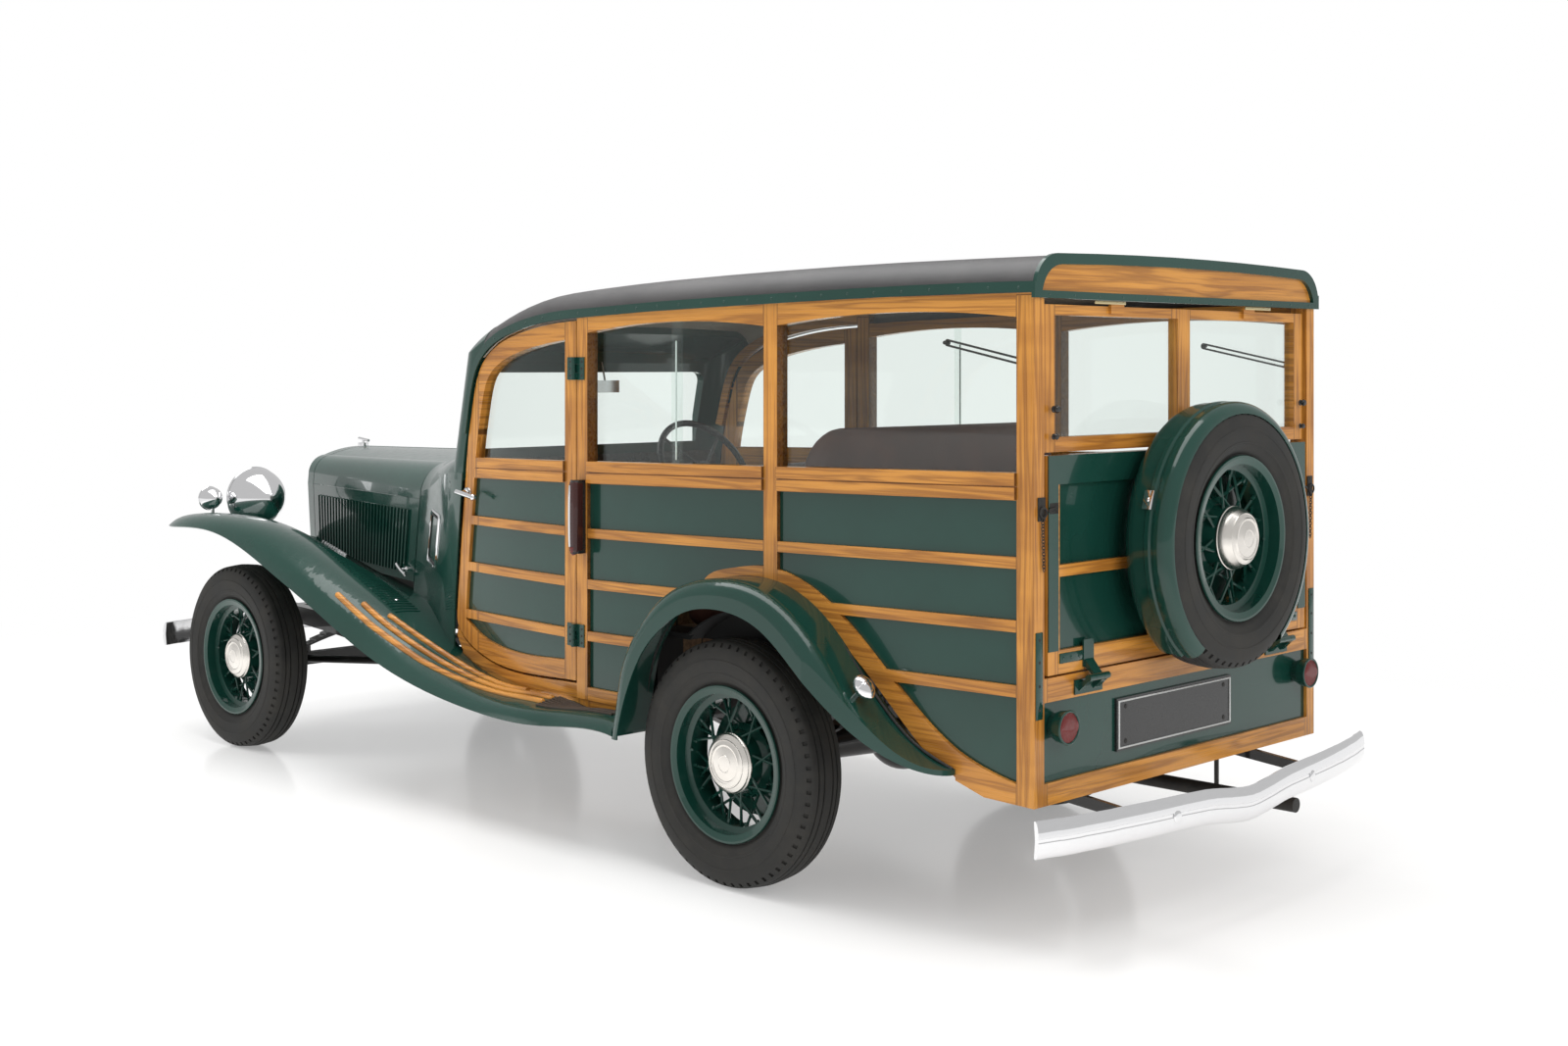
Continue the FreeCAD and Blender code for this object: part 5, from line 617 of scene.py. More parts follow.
def back_plate(corner, middle, out, body):
    """Round brake plate behind the drum, which stays still while the wheel turns."""
    if corner == "spare":
        return
    bm = bmesh.new()
    disc = [(178.0, -100.0), (179.5, -101.0), (179.5, -103.0), (60.0, -103.0), (60.0, -100.0)]
    lathe(bm, disc, middle, out, 64, True)
    axle, side = corner.split("_")
    finished("brake_plate_" + corner, bm, BLACK, "knuckle_" + side if axle == "front" else "wagon")


def wheel_trim(corner, middle, out, body):
    """Spoke nipples in two rows at the rim, and the tyre valve."""
    bm = bmesh.new()
    across = out.orthogonal().normalized()
    for number in range(2 * SPOKE_PAIRS):
        radial = Matrix.Rotation(math.pi * number / SPOKE_PAIRS, 3, out) @ across
        row = 1.0 if number % 2 else -1.0
        foot = middle + radial * mm(186.0) + out * mm(8.0 * row)
        bar(bm, foot, foot - radial * mm(13.0) - out * mm(row), 6.4, 6, 5.2)
    valve = Matrix.Rotation(0.7, 3, out) @ across
    foot = middle + valve * mm(190.0) + out * mm(14.0)
    tip = middle + valve * mm(166.0) + out * mm(34.0)
    bar(bm, foot, tip, 4.0, 8)
    finished("spoke_nipples_" + corner, bm, GREEN, body, (), 40.0)


for corner, middle, out, body in wheel_places():
    treaded_tyre(corner, middle, out, body)
    hub_cap(corner, middle, out, body)
    wheel_trim(corner, middle, out, body)
    back_plate(corner, middle, out, body)


# Doors, bonnet and cowl

BODY_HALF_WIDTH, TAPER_START, TAPER_RADIUS = 697.0, 300.0, 9361.0


def body_side(x):
    """Half width of the wood body at x, which draws in on an arc towards the front."""
    ahead = max(0.0, x - TAPER_START)
    return BODY_HALF_WIDTH - (TAPER_RADIUS - math.sqrt(TAPER_RADIUS ** 2 - ahead ** 2))


def door_handles():
    """Chromed lever handles with a ball end on a round rose."""
    x, z = 1440.0, 1062.0
    y = body_side(x)
    rose = [(0.0, 14.6), (11.0, 14.2), (15.0, 12.4), (18.2, 8.0), (18.2, 0.5)]
    lever = [(17.0, 40.0, 3.0), (8.0, 41.0, 2.0), (-20.0, 40.5, -2.0), (-50.0, 40.0, -7.0),
             (-80.0, 40.0, -12.0)]
    for side, s in SIDES.items():
        bm = bmesh.new()
        lathe(bm, rose, at(x, s * y, z), (0.0, s, 0.0), 32)
        bar(bm, at(x, s * (y + 10.0), z), at(x, s * (y + 38.0), z), 9.2, 16, 8.6)
        wire(bm, [at(x + a, s * (y + b), z + c) for a, b, c in lever], 9.0, fine=4)
        bmesh.ops.create_uvsphere(bm, u_segments=20, v_segments=12, radius=mm(11.4),
                                  matrix=Matrix.Translation(at(x - 78.0, s * (y + 40.0), z - 12.0)))
        finished("door_handle_" + side, bm, CHROME, "door_" + side)


def hinge_screws():
    """Three screws on each leaf of the door hinges, and three on the post."""
    frame_skin = skin_of("body_fittings")
    for side, s in SIDES.items():
        posts, doors = bmesh.new(), bmesh.new()
        door_skin = skin_of("door_%s_panel" % side, "door_%s_frame" % side)
        for z in (640.0, 1490.0):
            for x, bm, skin in ((752.0, posts, frame_skin), (815.0, doors, door_skin)):
                for spot, normal in met(side_touch(skin, x, z + dz, s) for dz in (-22.0, 0.0, 22.0)):
                    dome(bm, spot, normal, 4.4, 1.8, 8)
        finished("post_hinge_screws_" + side, posts, STEEL, "wagon")
        finished("door_hinge_screws_" + side, doors, STEEL, "door_" + side)


def bonnet_handles():
    """A chromed T handle low on each bonnet side, its bar along the side and dropped at the ends."""
    skin = skin_of("bonnet_side_left", "bonnet_side_right")
    lean = Vector((0.93, 0.0, 0.36))
    bm = bmesh.new()
    for s in SIDES.values():
        spot, normal = side_touch(skin, 2115.0, 731.0, s)
        bar_way = (lean - normal * lean.dot(normal)).normalized()
        head = spot + normal * mm(24.0)
        lathe(bm, [(0.0, 5.5), (9.0, 5.0), (13.0, 0.0), (13.0, -2.0)], spot, normal, 24)
        bar(bm, spot, head, 6.5, 14, 5.5)
        wire(bm, [head + bar_way * mm(reach) - normal * mm(drop) for reach, drop in
                  ((-44.0, 3.0), (-22.0, 0.0), (0.0, 0.0), (22.0, 0.0), (44.0, 3.0))], 7.0, fine=4)
    finished("bonnet_handles", bm, CHROME, "wagon")


def cowl_vents():
    """Chromed frame of the leaning vent in each side of the cowl, with the welt of its flap."""
    skin = skin_of("cowl")
    frame_bm, flap_bm = bmesh.new(), bmesh.new()
    corners = [(1700.0, 960.0), (1812.0, 975.0), (1880.0, 790.0), (1768.0, 768.0)]
    for s in SIDES.values():
        rim = met(side_touch(skin, xa + (xb - xa) * t, za + (zb - za) * t, s)
                  for (xa, za), (xb, zb) in zip(corners, corners[1:] + corners[:1])
                  for t in (0.06, 0.28, 0.5, 0.72, 0.94))
        wire(frame_bm, [spot + normal * mm(1.0) for spot, normal in rim], 5.4, True, False)
        middle = sum((spot for spot, normal in rim), Vector()) / len(rim)
        inner = [spot.lerp(middle, 0.13) + normal * mm(1.2) for spot, normal in rim]
        wire(flap_bm, inner, 3.4, True, False)
    finished("cowl_vent_frames", frame_bm, CHROME, "wagon")
    finished("cowl_vent_welts", flap_bm, WELT, "wagon")


def between(line, x):
    """The y at x of a line of points along the car."""
    for (xa, ya), (xb, yb) in zip(line, line[1:]):
        if x <= xb:
            return ya + (yb - ya) * (x - xa) / (xb - xa)
    return line[-1][1]


def apron_ribs():
    """Short pressed ribs across the apron between each front wing and the bonnet, and its bolt."""
    skin = skin_of("front_wings")
    inner = [(1788.0, 584.0), (1900.0, 571.0), (2032.0, 546.0), (2250.0, 480.0), (2360.0, 440.0)]
    outer = [(1788.0, 688.0), (1928.0, 678.0), (2076.0, 665.0), (2228.0, 652.0), (2360.0, 640.0)]
    first, pitch, count, points = 1800.0, 21.0, 27, 6
    bm, bolts = bmesh.new(), bmesh.new()
    for s in SIDES.values():
        for number in range(count):
            x = first + pitch * number
            a, b = between(inner, x), between(outer, x)
            run = met(top_touch(skin, x, s * (a + (b - a) * k / (points - 1.0))) for k in range(points))
            if len(run) == points:
                wire(bm, [spot - normal * mm(0.4) for spot, normal in run], 3.6, fine=1)
        spot, normal = top_touch(skin, 1890.0, s * 620.0)
        dome(bolts, spot, normal, 9.0, 5.0, 14)
    finished("apron_ribs", bm, GREEN, "wagon", (), 50.0)
    finished("apron_bolts", bolts, CHROME, "wagon")


door_handles()
hinge_screws()
bonnet_handles()
cowl_vents()
apron_ribs()


# Trim of the wood body and the wings

def wing_welts():
    """Black welting between each rear wing and the body."""
    line = [(440.0, 440.0), (421.0, 510.0), (392.0, 620.0), (321.0, 728.0), (240.0, 808.0), (120.0, 870.0),
            (0.0, 890.0), (-120.0, 878.0), (-240.0, 826.0), (-360.0, 750.0), (-480.0, 658.0),
            (-599.0, 550.0), (-690.0, 474.0), (-782.0, 419.0)]
    beside_body, lift = 704.0, 90.0
    skin = skin_of("rear_wings")
    bm = bmesh.new()
    for s in SIDES.values():
        run = met(top_touch(skin, x, s * beside_body, z + lift) for x, z in line)
        wire(bm, [spot for spot, normal in run], 4.2)
    finished("wing_welts", bm, WELT, "wagon")


def gutter_nails():
    """Domed nails along the middle of the drip bead and on the rear bead."""
    rearmost, pitch, lowest = -1000.0, 98.0, 1530.0
    rear_pitch, rear_height = 108.0, 1679.5
    skin = skin_of("gutter")
    bm = bmesh.new()
    for s in SIDES.values():
        for number in range(24):
            x = rearmost + pitch * number
            bead = on_side(side_touch(skin, x, lowest + 2.0 * step, s) for step in range(90))
            if bead:
                dome(bm, *bead[len(bead) // 2], 3.8, 1.8)
    rear_bead = met(touch(skin, (-1200.0, rear_pitch * k, rear_height), FORWARD) for k in range(-6, 7))
    for spot, normal in rear_bead:
        dome(bm, spot, normal, 3.8, 1.4)
    finished("gutter_nails", bm, GREEN, "wagon")


def direction_arm_trim():
    """Maroon housing of each direction arm, its chromed edge and red tip."""
    housing, edge, tip = bmesh.new(), bmesh.new(), bmesh.new()
    edge_line = [(766.0, 726.5, 926.0), (766.5, 728.0, 940.0), (767.0, 728.5, 1030.0),
                 (766.5, 728.0, 1106.0), (766.0, 726.0, 1120.0)]
    tip_line = [(756.0, 716.0, 904.0), (756.0, 722.0, 912.0), (756.0, 725.0, 926.0)]
    for s in SIDES.values():
        side_block(housing, s, (735.6, 688.0, 903.6), (774.4, 728.6, 1137.4), 13.0, 5)
        wire(edge, [at(x, s * y, z) for x, y, z in edge_line], 4.2, fine=3)
        wire(tip, [at(x, s * y, z) for x, y, z in tip_line], 9.5, fine=4)
    finished("direction_arm_housings", housing, MAROON, "wagon")
    finished("direction_arm_edges", edge, CHROME, "wagon")
    finished("direction_arm_tips", tip, RED, "wagon")


STRIP_LINES = [
    [(2018.0, 784.0), (1914.0, 787.0), (1783.0, 790.0), (1492.0, 785.0), (1325.0, 772.0),
     (1130.0, 760.0), (870.0, 758.0)],
    [(1902.0, 750.0), (1769.0, 755.0), (1657.0, 752.0), (1494.0, 742.0), (1303.0, 726.0),
     (1128.0, 720.0), (870.0, 720.0)],
    [(1784.0, 717.0), (1692.0, 711.0), (1561.0, 700.0), (1417.0, 688.0), (1250.0, 682.0),
     (1040.0, 682.0), (870.0, 682.0)]]


def wing_strips():
    """Half-round wood strips along the front wings, with rounded ends."""
    radius, spacing = 11.5, 45.0
    skin = skin_of("front_wings")
    bm = bmesh.new()
    for s in SIDES.values():
        for line in STRIP_LINES:
            places = []
            for (xa, ya), (xb, yb) in zip(line, line[1:]):
                steps = max(2, int(abs(xb - xa) / spacing))
                places += [(xa + (xb - xa) * k / steps, ya + (yb - ya) * k / steps) for k in range(steps)]
            run = [top_touch(skin, x, s * y, 1300.0) for x, y in places + [line[-1]]]
            wire(bm, [spot for spot, normal in met(run)], radius, fine=3)
            for spot, normal in met((run[0], run[-1])):
                bmesh.ops.create_uvsphere(bm, u_segments=12, v_segments=8, radius=mm(radius),
                                          matrix=Matrix.Translation(spot))
    finished("wing_strips", bm, ASH_STRIP, "wagon", ["rub_strips"])


def sliding_pane_edges():
    """Pale ground edge of the sliding pane in the second bay of each side."""
    pane_end, lowest = 322.0, 1160.0
    skin = skin_of("body_glass")
    bm = bmesh.new()
    for s in SIDES.values():
        run = on_side(side_touch(skin, pane_end, lowest + 18.0 * k, s) for k in range(24))
        wire(bm, [spot + normal * mm(0.8) for spot, normal in (run[0], run[-1])], 2.6, smooth=False)
    finished("sliding_pane_edges", bm, PANE_EDGE, "wagon")


def step_plates():
    """Dark wood slats of the step on the rear end of each running board."""
    skin = skin_of("front_wings")
    bm = bmesh.new()
    section = [(-4.6, -1.5), (-4.6, 4.0), (-3.0, 5.6), (3.0, 5.6), (4.6, 4.0), (4.6, -1.5)]
    across = Vector((0.0, 1.0, 0.0))
    rear_end, spacing, inner_edge, pitch = 486.0, 28.5, 697.0, 13.0
    for s in SIDES.values():
        for lane in range(8):
            y = s * (inner_edge + lane * pitch)
            run = met(top_touch(skin, rear_end + spacing * k, y) for k in range(14))
            swept(bm, [(spot, across, normal) for spot, normal in run], section)
    finished("step_slats", bm, SLAT, "wagon")


wing_welts()
gutter_nails()
direction_arm_trim()
wing_strips()
sliding_pane_edges()
step_plates()


# Rear face

def rear_heads(bm, s, x, places, radius, height, sides=8):
    """Round heads on the rear face of one side, at places given by their y and z."""
    for y, z in places:
        dome(bm, at(x, s * y, z), BACKWARD, radius, height, sides)


def rear_lamp_lenses():
    """Red lens with upright ribs and a painted rim in each tail lamp."""
    lens, rim = bmesh.new(), bmesh.new()
    height, radius, pitch = 582.0, 38.0, 5.0
    for y in (605.0, -605.0):
        for k in range(-7, 8):
            half = math.sqrt(radius ** 2 - (k * pitch) ** 2)
            rib = [(-1078.5, -half), (-1081.0, -half * 0.6), (-1082.6, 0.0), (-1081.0, half * 0.6),
                   (-1078.5, half)]
            wire(lens, [at(x, y + k * pitch, height + dz) for x, dz in rib], 3.0, fine=1)
        lathe(lens, [(0.0, 0.0), (radius, 0.0)], at(-1078.0, y, height), BACKWARD, 40)
        ring(rim, at(-1081.0, y, height), FORWARD, 41.5, 3.4, 48, 10)
    finished("tail_lenses", lens, RED, "wagon", (), 60.0)
    finished("tail_lamp_rims", rim, GREEN, "wagon")


def plate_border():
    """Thin pale border and four screws on the blank plate."""
    line, screws = bmesh.new(), bmesh.new()
    face, right, left, low, high = -1040.0, -222.0, 326.0, 484.0, 608.0
    corners = [at(face, y, z) for y, z in ((right, low), (left, low), (left, high), (right, high))]
    wire(line, corners, 3.4, closed=True, smooth=False, fine=1)
    for y in (right + 32.0, left - 32.0):
        for z in (low + 16.0, high - 16.0):
            lathe(screws, [(0.0, 2.4), (5.0, 2.0), (7.0, 0.0)], at(face + 1.0, y, z), BACKWARD, 18)
    finished("plate_border", line, PLATE_LINE, "wagon")
    finished("plate_screws", screws, STEEL, "wagon")


def lift_window_fittings():
    """Pale brass hinge leaves, black knobs and slotted stays of the lifting window."""
    leaves, knobs, stays = bmesh.new(), bmesh.new(), bmesh.new()
    leaf_face = -1044.6
    upper_knob = [(0.0, 17.0), (7.0, 16.4), (10.0, 12.0), (10.0, 8.0), (6.0, 4.0), (9.0, 1.0), (9.0, -1.0)]
    lower_knob = [(0.0, 13.0), (6.0, 12.4), (8.0, 9.0), (5.0, 3.0), (8.0, 0.5), (8.0, -1.0)]
    stay_ends = [(-990.0, 1500.0), (-700.0, 1560.0)]
    for s in SIDES.values():
        side_block(leaves, s, (leaf_face, 300.0, 1660.0), (-1041.4, 440.0, 1669.0), 1.0)
        rear_heads(leaves, s, leaf_face, [(y, 1664.5) for y in (312.0, 340.0, 400.0, 428.0)], 2.6, 1.2)
        for z, profile in ((1388.0, upper_knob), (1318.0, lower_knob)):
            lathe(knobs, profile, at(-1042.0, s * 616.0, z), BACKWARD, 20)
        for dz in (-7.0, 7.0):
            wire(stays, [at(x, s * 626.0, z + dz) for x, z in stay_ends], 3.0, smooth=False)
        for x, z in stay_ends:
            ring(stays, at(x, s * 626.0, z), (0.0, 1.0, 0.0), 7.0, 3.0, 16, 6)
            bar(stays, at(x, s * 622.0, z), at(x, s * 640.0, z), 5.0)
    finished("lift_hinge_leaves", leaves, BRASS, "wagon")
    finished("lift_window_knobs", knobs, PLASTIC, "lift_window")
    finished("lift_window_stays", stays, STEEL, "wagon")


def chain(bm, start, end, links):
    """A taut chain of oval links between two places, each link turned from the last."""
    places = [start.lerp(end, k / links) for k in range(links + 1)]
    for k, (a, b) in enumerate(zip(places, places[1:])):
        way = (b - a).normalized()
        flat = way.cross(FORWARD).normalized()
        side = way.cross(flat).normalized() if k % 2 else flat
        half = (b - a).length * 0.5 + mm(1.8)
        turns = [2.0 * math.pi * n / 8.0 for n in range(8)]
        oval = [(a + b) / 2.0 + way * (math.cos(q) * half) + side * (math.sin(q) * mm(4.4)) for q in turns]
        wire(bm, oval, 1.3, closed=True, fine=0)


def tailgate_latches():
    """Latch plate with a ring on each rear post, a hook on the tailgate and the chain below the ring."""
    post, gate, links = bmesh.new(), bmesh.new(), bmesh.new()
    face, post_y, hook_z = REAR_FACE - 4.0, 669.0, 1136.0
    hook = [(-1044.0, 612.0, hook_z), (-1051.0, 622.0, hook_z), (-1050.0, 636.0, hook_z),
            (-1047.0, 645.0, 1130.0)]
    for s in SIDES.values():
        side_block(post, s, (face, 654.0, 1106.0), (REAR_FACE, 684.0, 1166.0), 1.4)
        rear_heads(post, s, face, [(post_y, 1114.0), (post_y, 1158.0)], 4.0, 1.6)
        ring(post, at(-1049.5, s * post_y, 1128.0), FORWARD, 13.0, 2.6, 28, 8)
        bar(post, at(-1042.0, s * post_y, 1140.0), at(-1051.0, s * post_y, 1140.0), 4.0, 10)
        side_block(gate, s, (face, 600.0, 1122.0), (REAR_FACE, 636.0, 1150.0), 1.4)
        wire(gate, [at(x, s * y, z) for x, y, z in hook], 3.0, fine=3)
        rear_heads(gate, s, face, [(606.0, hook_z)], 4.0, 1.6)
        chain(links, at(-1047.0, s * post_y, 1114.0), at(-1047.0, s * 664.0, 980.0), 17)
    finished("latch_plates", post, STEEL, "wagon")
    finished("latch_hooks", gate, STEEL, "tailgate")
    finished("latch_chains", links, STEEL, "wagon", (), 60.0)


def cover_clasp():
    """Small clasp on the band of the spare wheel cover."""
    spot, normal = touch(skin_of("spare_cover"), (-1150.0, 700.0, 1240.0), (0.0, -1.0, -0.26))
    bm = bmesh.new()
    turn = normal.to_track_quat("Z", "Y").to_matrix().to_4x4()
    place = Matrix.Translation(spot + normal * mm(2.0)) @ turn
    size = Matrix.Diagonal((mm(30.0), mm(52.0), mm(5.0), 1.0))
    rounded(bm, edges_of(bmesh.ops.create_cube(bm, size=1.0, matrix=place @ size)), 1.6, 2, False)
    dome(bm, spot + normal * mm(4.5), normal, 6.0, 3.0, 12)
    finished("cover_clasp", bm, CHROME, "tailgate")


def gate_corner_straps():
    """Level arm of each L-shaped strap on the tailgate's bottom rail, with its bolts."""
    straps, bolts = bmesh.new(), bmesh.new()
    face = -1044.4
    for s in SIDES.values():
        side_block(straps, s, (face, 488.0, 738.0), (-1040.4, 592.0, 764.0), 1.2)
        rear_heads(bolts, s, face, [(y, 751.0) for y in (510.0, 546.0, 580.0)], 5.0, 2.4, 10)
    finished("gate_corner_straps", straps, GREEN, "tailgate")
    finished("gate_strap_bolts", bolts, GREEN, "tailgate")


def post_straps():
    """Green steel strap low on each rear post, with its screws."""
    straps, screws = bmesh.new(), bmesh.new()
    face = REAR_FACE - 3.0
    for s in SIDES.values():
        side_block(straps, s, (face, 664.0, 606.0), (REAR_FACE, 692.0, 826.0), 1.2)
        rear_heads(screws, s, face, [(678.0, z) for z in (630.0, 690.0, 750.0, 806.0)], 4.4, 1.8)
    finished("post_straps", straps, GREEN, "wagon")
    finished("post_strap_screws", screws, STEEL, "wagon")


rear_lamp_lenses()
plate_border()
lift_window_fittings()
tailgate_latches()
cover_clasp()
gate_corner_straps()
post_straps()


# Bumpers and lamps

# Each bumper: where the lines that look for it start, which way they go, the lowest and highest of
# them, and the place of its bolts.
BUMPERS = [(-1500.0, FORWARD, (236, 396), (344.0, 338.0)),
           (3700.0, BACKWARD, (346, 492), (750.0, 432.0))]
CROWN = [(14.0, -47.0), (8.0, -42.0), (3.6, -31.0), (1.2, -18.0), (0.5, -6.0), (2.2, -3.6), (2.2, 3.6),
         (0.5, 6.0), (1.2, 18.0), (3.6, 31.0), (8.0, 42.0), (14.0, 47.0), (19.0, 45.0), (15.0, 0.0),
         (19.0, -45.0)]


def bumper_bars():
    """Convex chromed bars with a thin groove along them, square ends and flush bolts."""
    skin = skin_of("bumpers")
    bars, bolts = bmesh.new(), bmesh.new()
    half_width, steps = 817.0, 72
    head = [(0.0, 3.4), (9.0, 3.0), (14.0, 1.8), (16.0, 0.2), (16.0, -4.0)]
    for x, way, heights, (bolt_y, bolt_z) in BUMPERS:
        stations = []
        for k in range(steps + 1):
            y = half_width * math.sin(math.pi * (k / steps - 0.5))
            hits = [z for z in range(*heights, 2) if touch(skin, (x, y, z), way)[0]]
            if hits:
                spot, normal = touch(skin, (x, y, (hits[0] + hits[-1]) / 2.0), way)
                stations.append((spot, -normal, UP))
        swept(bars, stations, CROWN)
        for y in (bolt_y, -bolt_y):
            spot, normal = touch(skin, (x, y, bolt_z), way)
            lathe(bolts, head, spot, normal, 28)
    finished("bumper_bars", bars, CHROME, "wagon", ["bumpers"], 30.0)
    finished("bumper_bolts", bolts, CHROME, "wagon")


def lamp_shells():
    """Spun bowls and rolled rims of the headlamps and wing lamps, and the band of each egg lamp."""
    bowls, rims = bmesh.new(), bmesh.new()
    large = [(112.5, 60.0), (118.0, 55.0), (122.5, 48.0),
             *arc((122.5, 34.0), (90.5, -52.0), (12.5, -112.5), 22), (0.0, -113.0)]
    small = [(39.0, 34.5), (46.4, 22.0), *arc((46.4, 10.0), (34.4, -30.0), (6.4, -52.4), 14), (0.0, -52.8)]
    head_y, head_z, wing_y, wing_z = 470.0, 955.0, 655.0, 958.0
    egg_lamp, egg_axis = (-536.0, 776.0, 640.0), (0.743, 0.0, 0.669)
    for s in SIDES.values():
        lathe(bowls, large, at(3110.0, s * head_y, head_z), FORWARD, 96)
        lathe(bowls, small, at(3170.0, s * wing_y, wing_z), FORWARD, 64)
        for step in (0.0, 8.0, 16.0):
            ring(rims, at(3149.0 + step, s * head_y, head_z), FORWARD, 122.0 - step * 0.42, 4.6, 96, 10)
        ring(rims, at(3186.0, s * wing_y, wing_z), FORWARD, 45.6, 3.4, 64, 10)
        ring(rims, at(egg_lamp[0], s * egg_lamp[1], egg_lamp[2]), egg_axis, 24.4, 2.0)
    finished("lamp_bowls", bowls, CHROME, "wagon")
    finished("lamp_rims", rims, CHROME, "wagon")


bumper_bars()
lamp_shells()


# Seats

def settled(carrier):
    """The mesh of an object as its modifiers leave it at this frame."""
    graph = bpy.context.evaluated_depsgraph_get()
    return bpy.data.meshes.new_from_object(carrier.evaluated_get(graph))


def blown(carrier, rise):
    """The carrier's mesh blown up as cloth, no place of it moved further than the rise."""
    scene = bpy.context.scene
    start = [vert.co.copy() for vert in carrier.data.vertices]
    air = carrier.modifiers.new("air", "CLOTH")
    air.settings.use_pressure = True
    air.settings.uniform_pressure_force = 4.0
    air.settings.quality = 5
    air.settings.effector_weights.gravity = 0.0
    for number in range(1, 21):
        scene.frame_set(number)
    mesh = settled(carrier)
    carrier.modifiers.clear()
    scene.frame_set(1)
    for vert, before in zip(mesh.vertices, start):
        move = vert.co - before
        if move.length > mm(rise):
            vert.co = before + move.normalized() * mm(rise)
    return mesh


def cushion(name, low, high, soft, rise, round_top=0.0):
    """A sprung leather cushion blown up as cloth from its block, then finished smooth."""
    bm = bmesh.new()
    block(bm, low, high)
    if round_top:
        top = max(vert.co.z for vert in bm.verts)
        corners = [edge for edge in bm.edges
                   if all(abs(vert.co.z - top) < 1e-4 for vert in edge.verts)
                   and abs(edge.verts[0].co.y - edge.verts[1].co.y) < 1e-4]
        rounded(bm, corners, round_top, 10, False)
    rounded(bm, [edge for edge in bm.edges if edge.calc_face_angle(0.0) > 0.5], soft, 4)
    mesh = bpy.data.meshes.new(name)
    bm.to_mesh(mesh)
    bm.free()
    carrier = bpy.data.objects.new(name, mesh)
    bpy.context.scene.collection.objects.link(carrier)
    net = carrier.modifiers.new("net", "REMESH")
    net.mode = "VOXEL"
    net.voxel_size = mm(13.0)
    carrier.data = settled(carrier)
    carrier.modifiers.clear()
    carrier.data = blown(carrier, rise)
    bm = bmesh.new()
    bm.from_mesh(carrier.data)
    for turn in range(3):
        bmesh.ops.smooth_vert(bm, verts=bm.verts, factor=0.5, use_axis_x=True, use_axis_y=True,
                              use_axis_z=True)
    bpy.data.objects.remove(carrier)
    return bm


# Each cushion: its corners, the radius of its edges and the radius of its upper corners.
BENCHES = {"front_seat_cushion": ((906.0, -578.0, 696.0), (1284.0, 578.0, 818.0), 30.0, 0.0),
           "front_seat_back": ((808.0, -578.0, 700.0), (886.0, 578.0, 1160.0), 28.0, 90.0),
           "rear_seat_cushion": ((-32.0, -578.0, 698.0), (412.0, 578.0, 836.0), 32.0, 0.0),
           "rear_seat_back": ((-180.0, -578.0, 700.0), (-82.0, 578.0, 1326.0), 30.0, 170.0)}


def seats():
    """Front and rear benches: four padded cushions, and a welt along the front of each seat."""
    for name, (low, high, soft, round_top) in BENCHES.items():
        bm = cushion(name, low, high, soft, 12.0, round_top)
        piece = finished(name, bm, HIDE, "wagon", ["seats"], 60.0)
    welts = bmesh.new()
    for x, z in ((1290.0, 806.0), (418.0, 824.0)):
        line = [(x - 14.0, -566.0), (x, -540.0), (x, 540.0), (x - 14.0, 566.0)]
        wire(welts, [at(a, b, z) for a, b in line], 4.0)
    finished("seat_welts", welts, HIDE, "wagon")


seats()


# Room

def stage_floor():
    """A plain pale floor that turns to white away from the car."""
    paint = Finish("studio_floor")
    x, y, z = paint.axes()
    far = ((x * x) / 34.0 + (y * y) / 20.0).ramp(0.35, 1.0)
    cloud = paint.noise(paint.place(), 0.8, 4.0)
    base = paint.mix(cloud.ramp(0.3, 0.7), (0.83, 0.825, 0.815), (0.87, 0.867, 0.86))
    gloss = paint.add("ShaderNodeBsdfPrincipled", {},
                      {"Base Color": base, "Roughness": 0.16, "Specular IOR Level": 0.35,
                       "Emission Strength": 0.3, "Emission Color": WHITE})
    white = paint.add("ShaderNodeEmission", {}, {"Color": WHITE, "Strength": 1.0})
    paint.add_output(paint.add("ShaderNodeMixShader", {}, {0: far, 1: gloss, 2: white}))
    bm = bmesh.new()
    bmesh.ops.create_grid(bm, x_segments=1, y_segments=1, size=30.0)
    mesh = bpy.data.meshes.new("studio_floor")
    bm.to_mesh(mesh)
    bm.free()
    floor = bpy.data.objects.new("studio_floor", mesh)
    mesh.materials.append(paint.material)
    bpy.context.scene.collection.objects.link(floor)


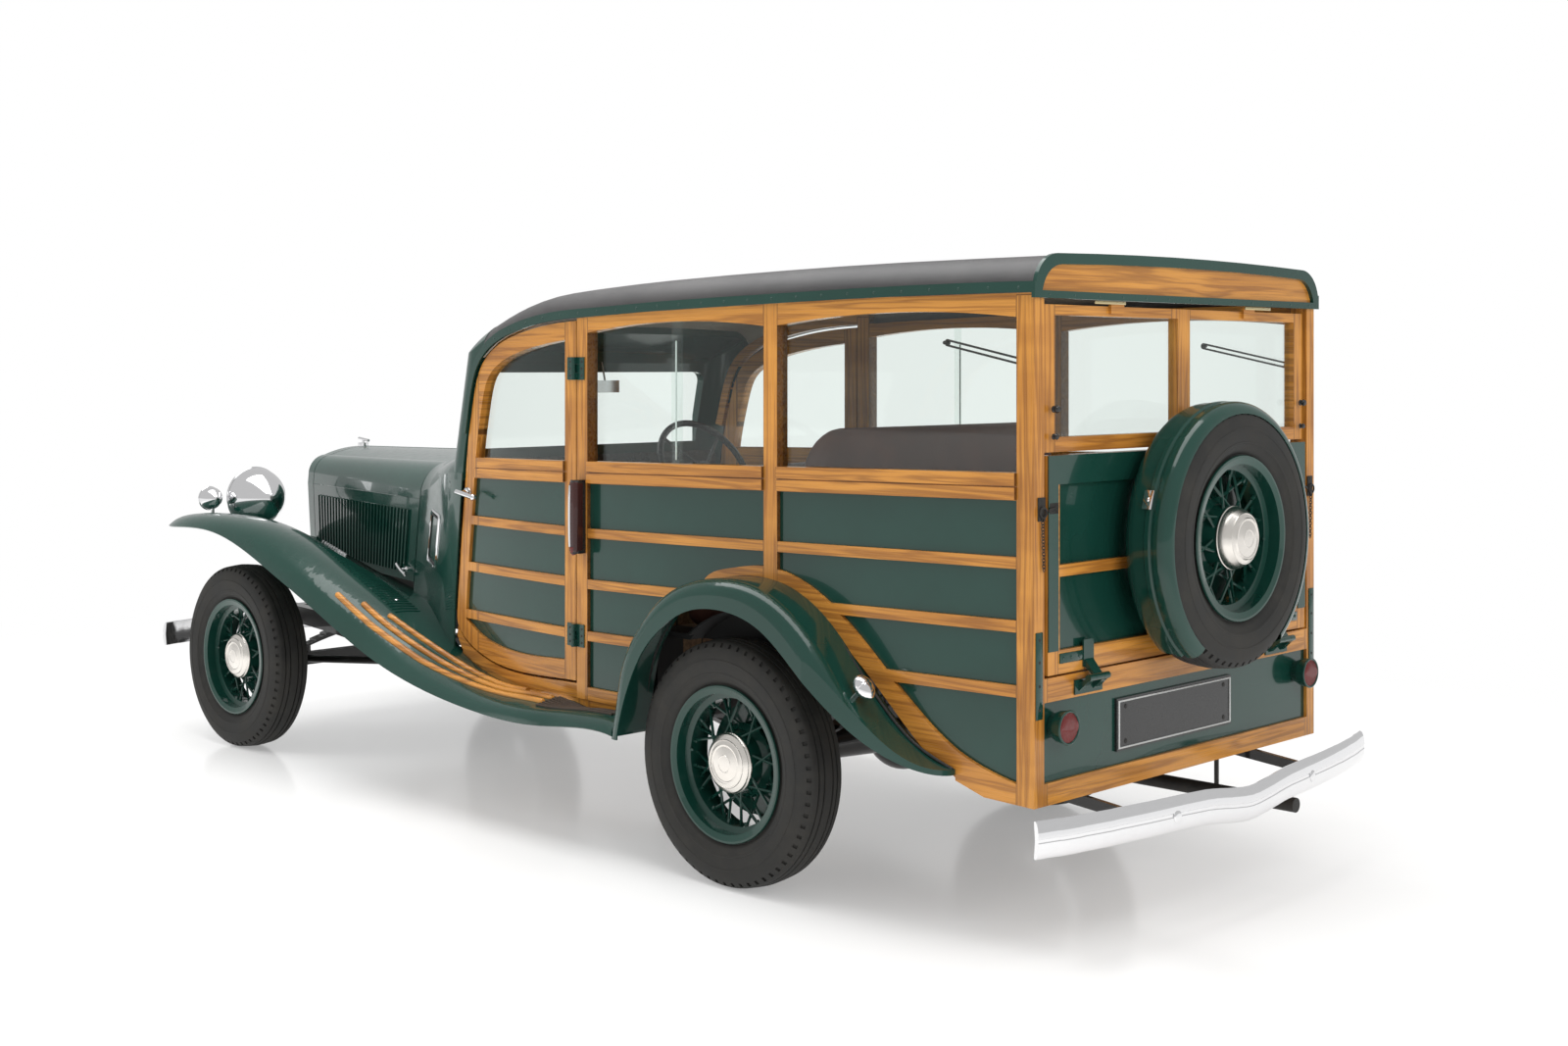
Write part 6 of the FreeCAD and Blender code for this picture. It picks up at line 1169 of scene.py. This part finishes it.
def soft_lamp(name, place, aim, size, power, mirrored=False):
    """A rectangular lamp; only a mirrored one shows in the paint and the chrome."""
    light = bpy.data.lights.new(name, "AREA")
    light.shape = "RECTANGLE"
    light.size, light.size_y = size
    light.energy = power
    lamp = bpy.data.objects.new(name, light)
    lamp.visible_glossy = mirrored
    lamp.location = place
    lamp.rotation_euler = (Vector(aim) - Vector(place)).to_track_quat("-Z", "Y").to_euler()
    bpy.context.scene.collection.objects.link(lamp)


def white_world():
    """White behind the car and through its glass, and dimmer for what lights it."""
    world = bpy.data.worlds.new("studio")
    sky = Nodes(world)
    straight, through = [sky.add("ShaderNodeLightPath", out="Is %s Ray" % kind)
                         for kind in ("Camera", "Transmission")]
    seen = straight.sum_of("MAXIMUM", through)
    strength = sky.add("ShaderNodeMapRange", {}, {"Value": seen, "To Min": 0.62, "To Max": 1.0})
    back = sky.add("ShaderNodeBackground", {}, {"Color": WHITE, "Strength": strength})
    sky.add_output(back, "ShaderNodeOutputWorld")
    bpy.context.scene.world = world


def room():
    stage_floor()
    soft_lamp("lamp_overhead", (0.0, 0.6, 4.6), (0.0, 0.0, 0.6), (6.0, 3.2), 190.0, True)
    soft_lamp("lamp_rear", (-5.5, 1.5, 2.8), (-1.5, 0.3, 0.9), (2.6, 2.2), 60.0)
    soft_lamp("lamp_front", (3.8, 4.0, 3.0), (1.2, 0.0, 0.7), (2.6, 2.0), 60.0)
    white_world()
    bpy.context.scene.view_settings.view_transform = "Standard"


EYE = (-3944.5, 4533.9, 1497.1)
HEADING = math.radians(45.38)
FOCAL_LENGTH, FILM_WIDTH, VERTICAL_SHIFT = 43.6, 36.0, -0.0999


def camera():
    """A level camera behind the left rear corner, shifted down as in the photograph."""
    data = bpy.data.cameras.new("view")
    data.lens = FOCAL_LENGTH
    data.sensor_width = FILM_WIDTH
    data.shift_y = VERTICAL_SHIFT
    data.clip_end = 60.0
    lens = bpy.data.objects.new("view", data)
    lens.location = at(*EYE)
    direction = Vector((math.cos(HEADING), -math.sin(HEADING), 0.0))
    lens.rotation_euler = direction.to_track_quat("-Z", "Y").to_euler()
    bpy.context.scene.collection.objects.link(lens)
    bpy.context.scene.camera = lens


camera()
room()
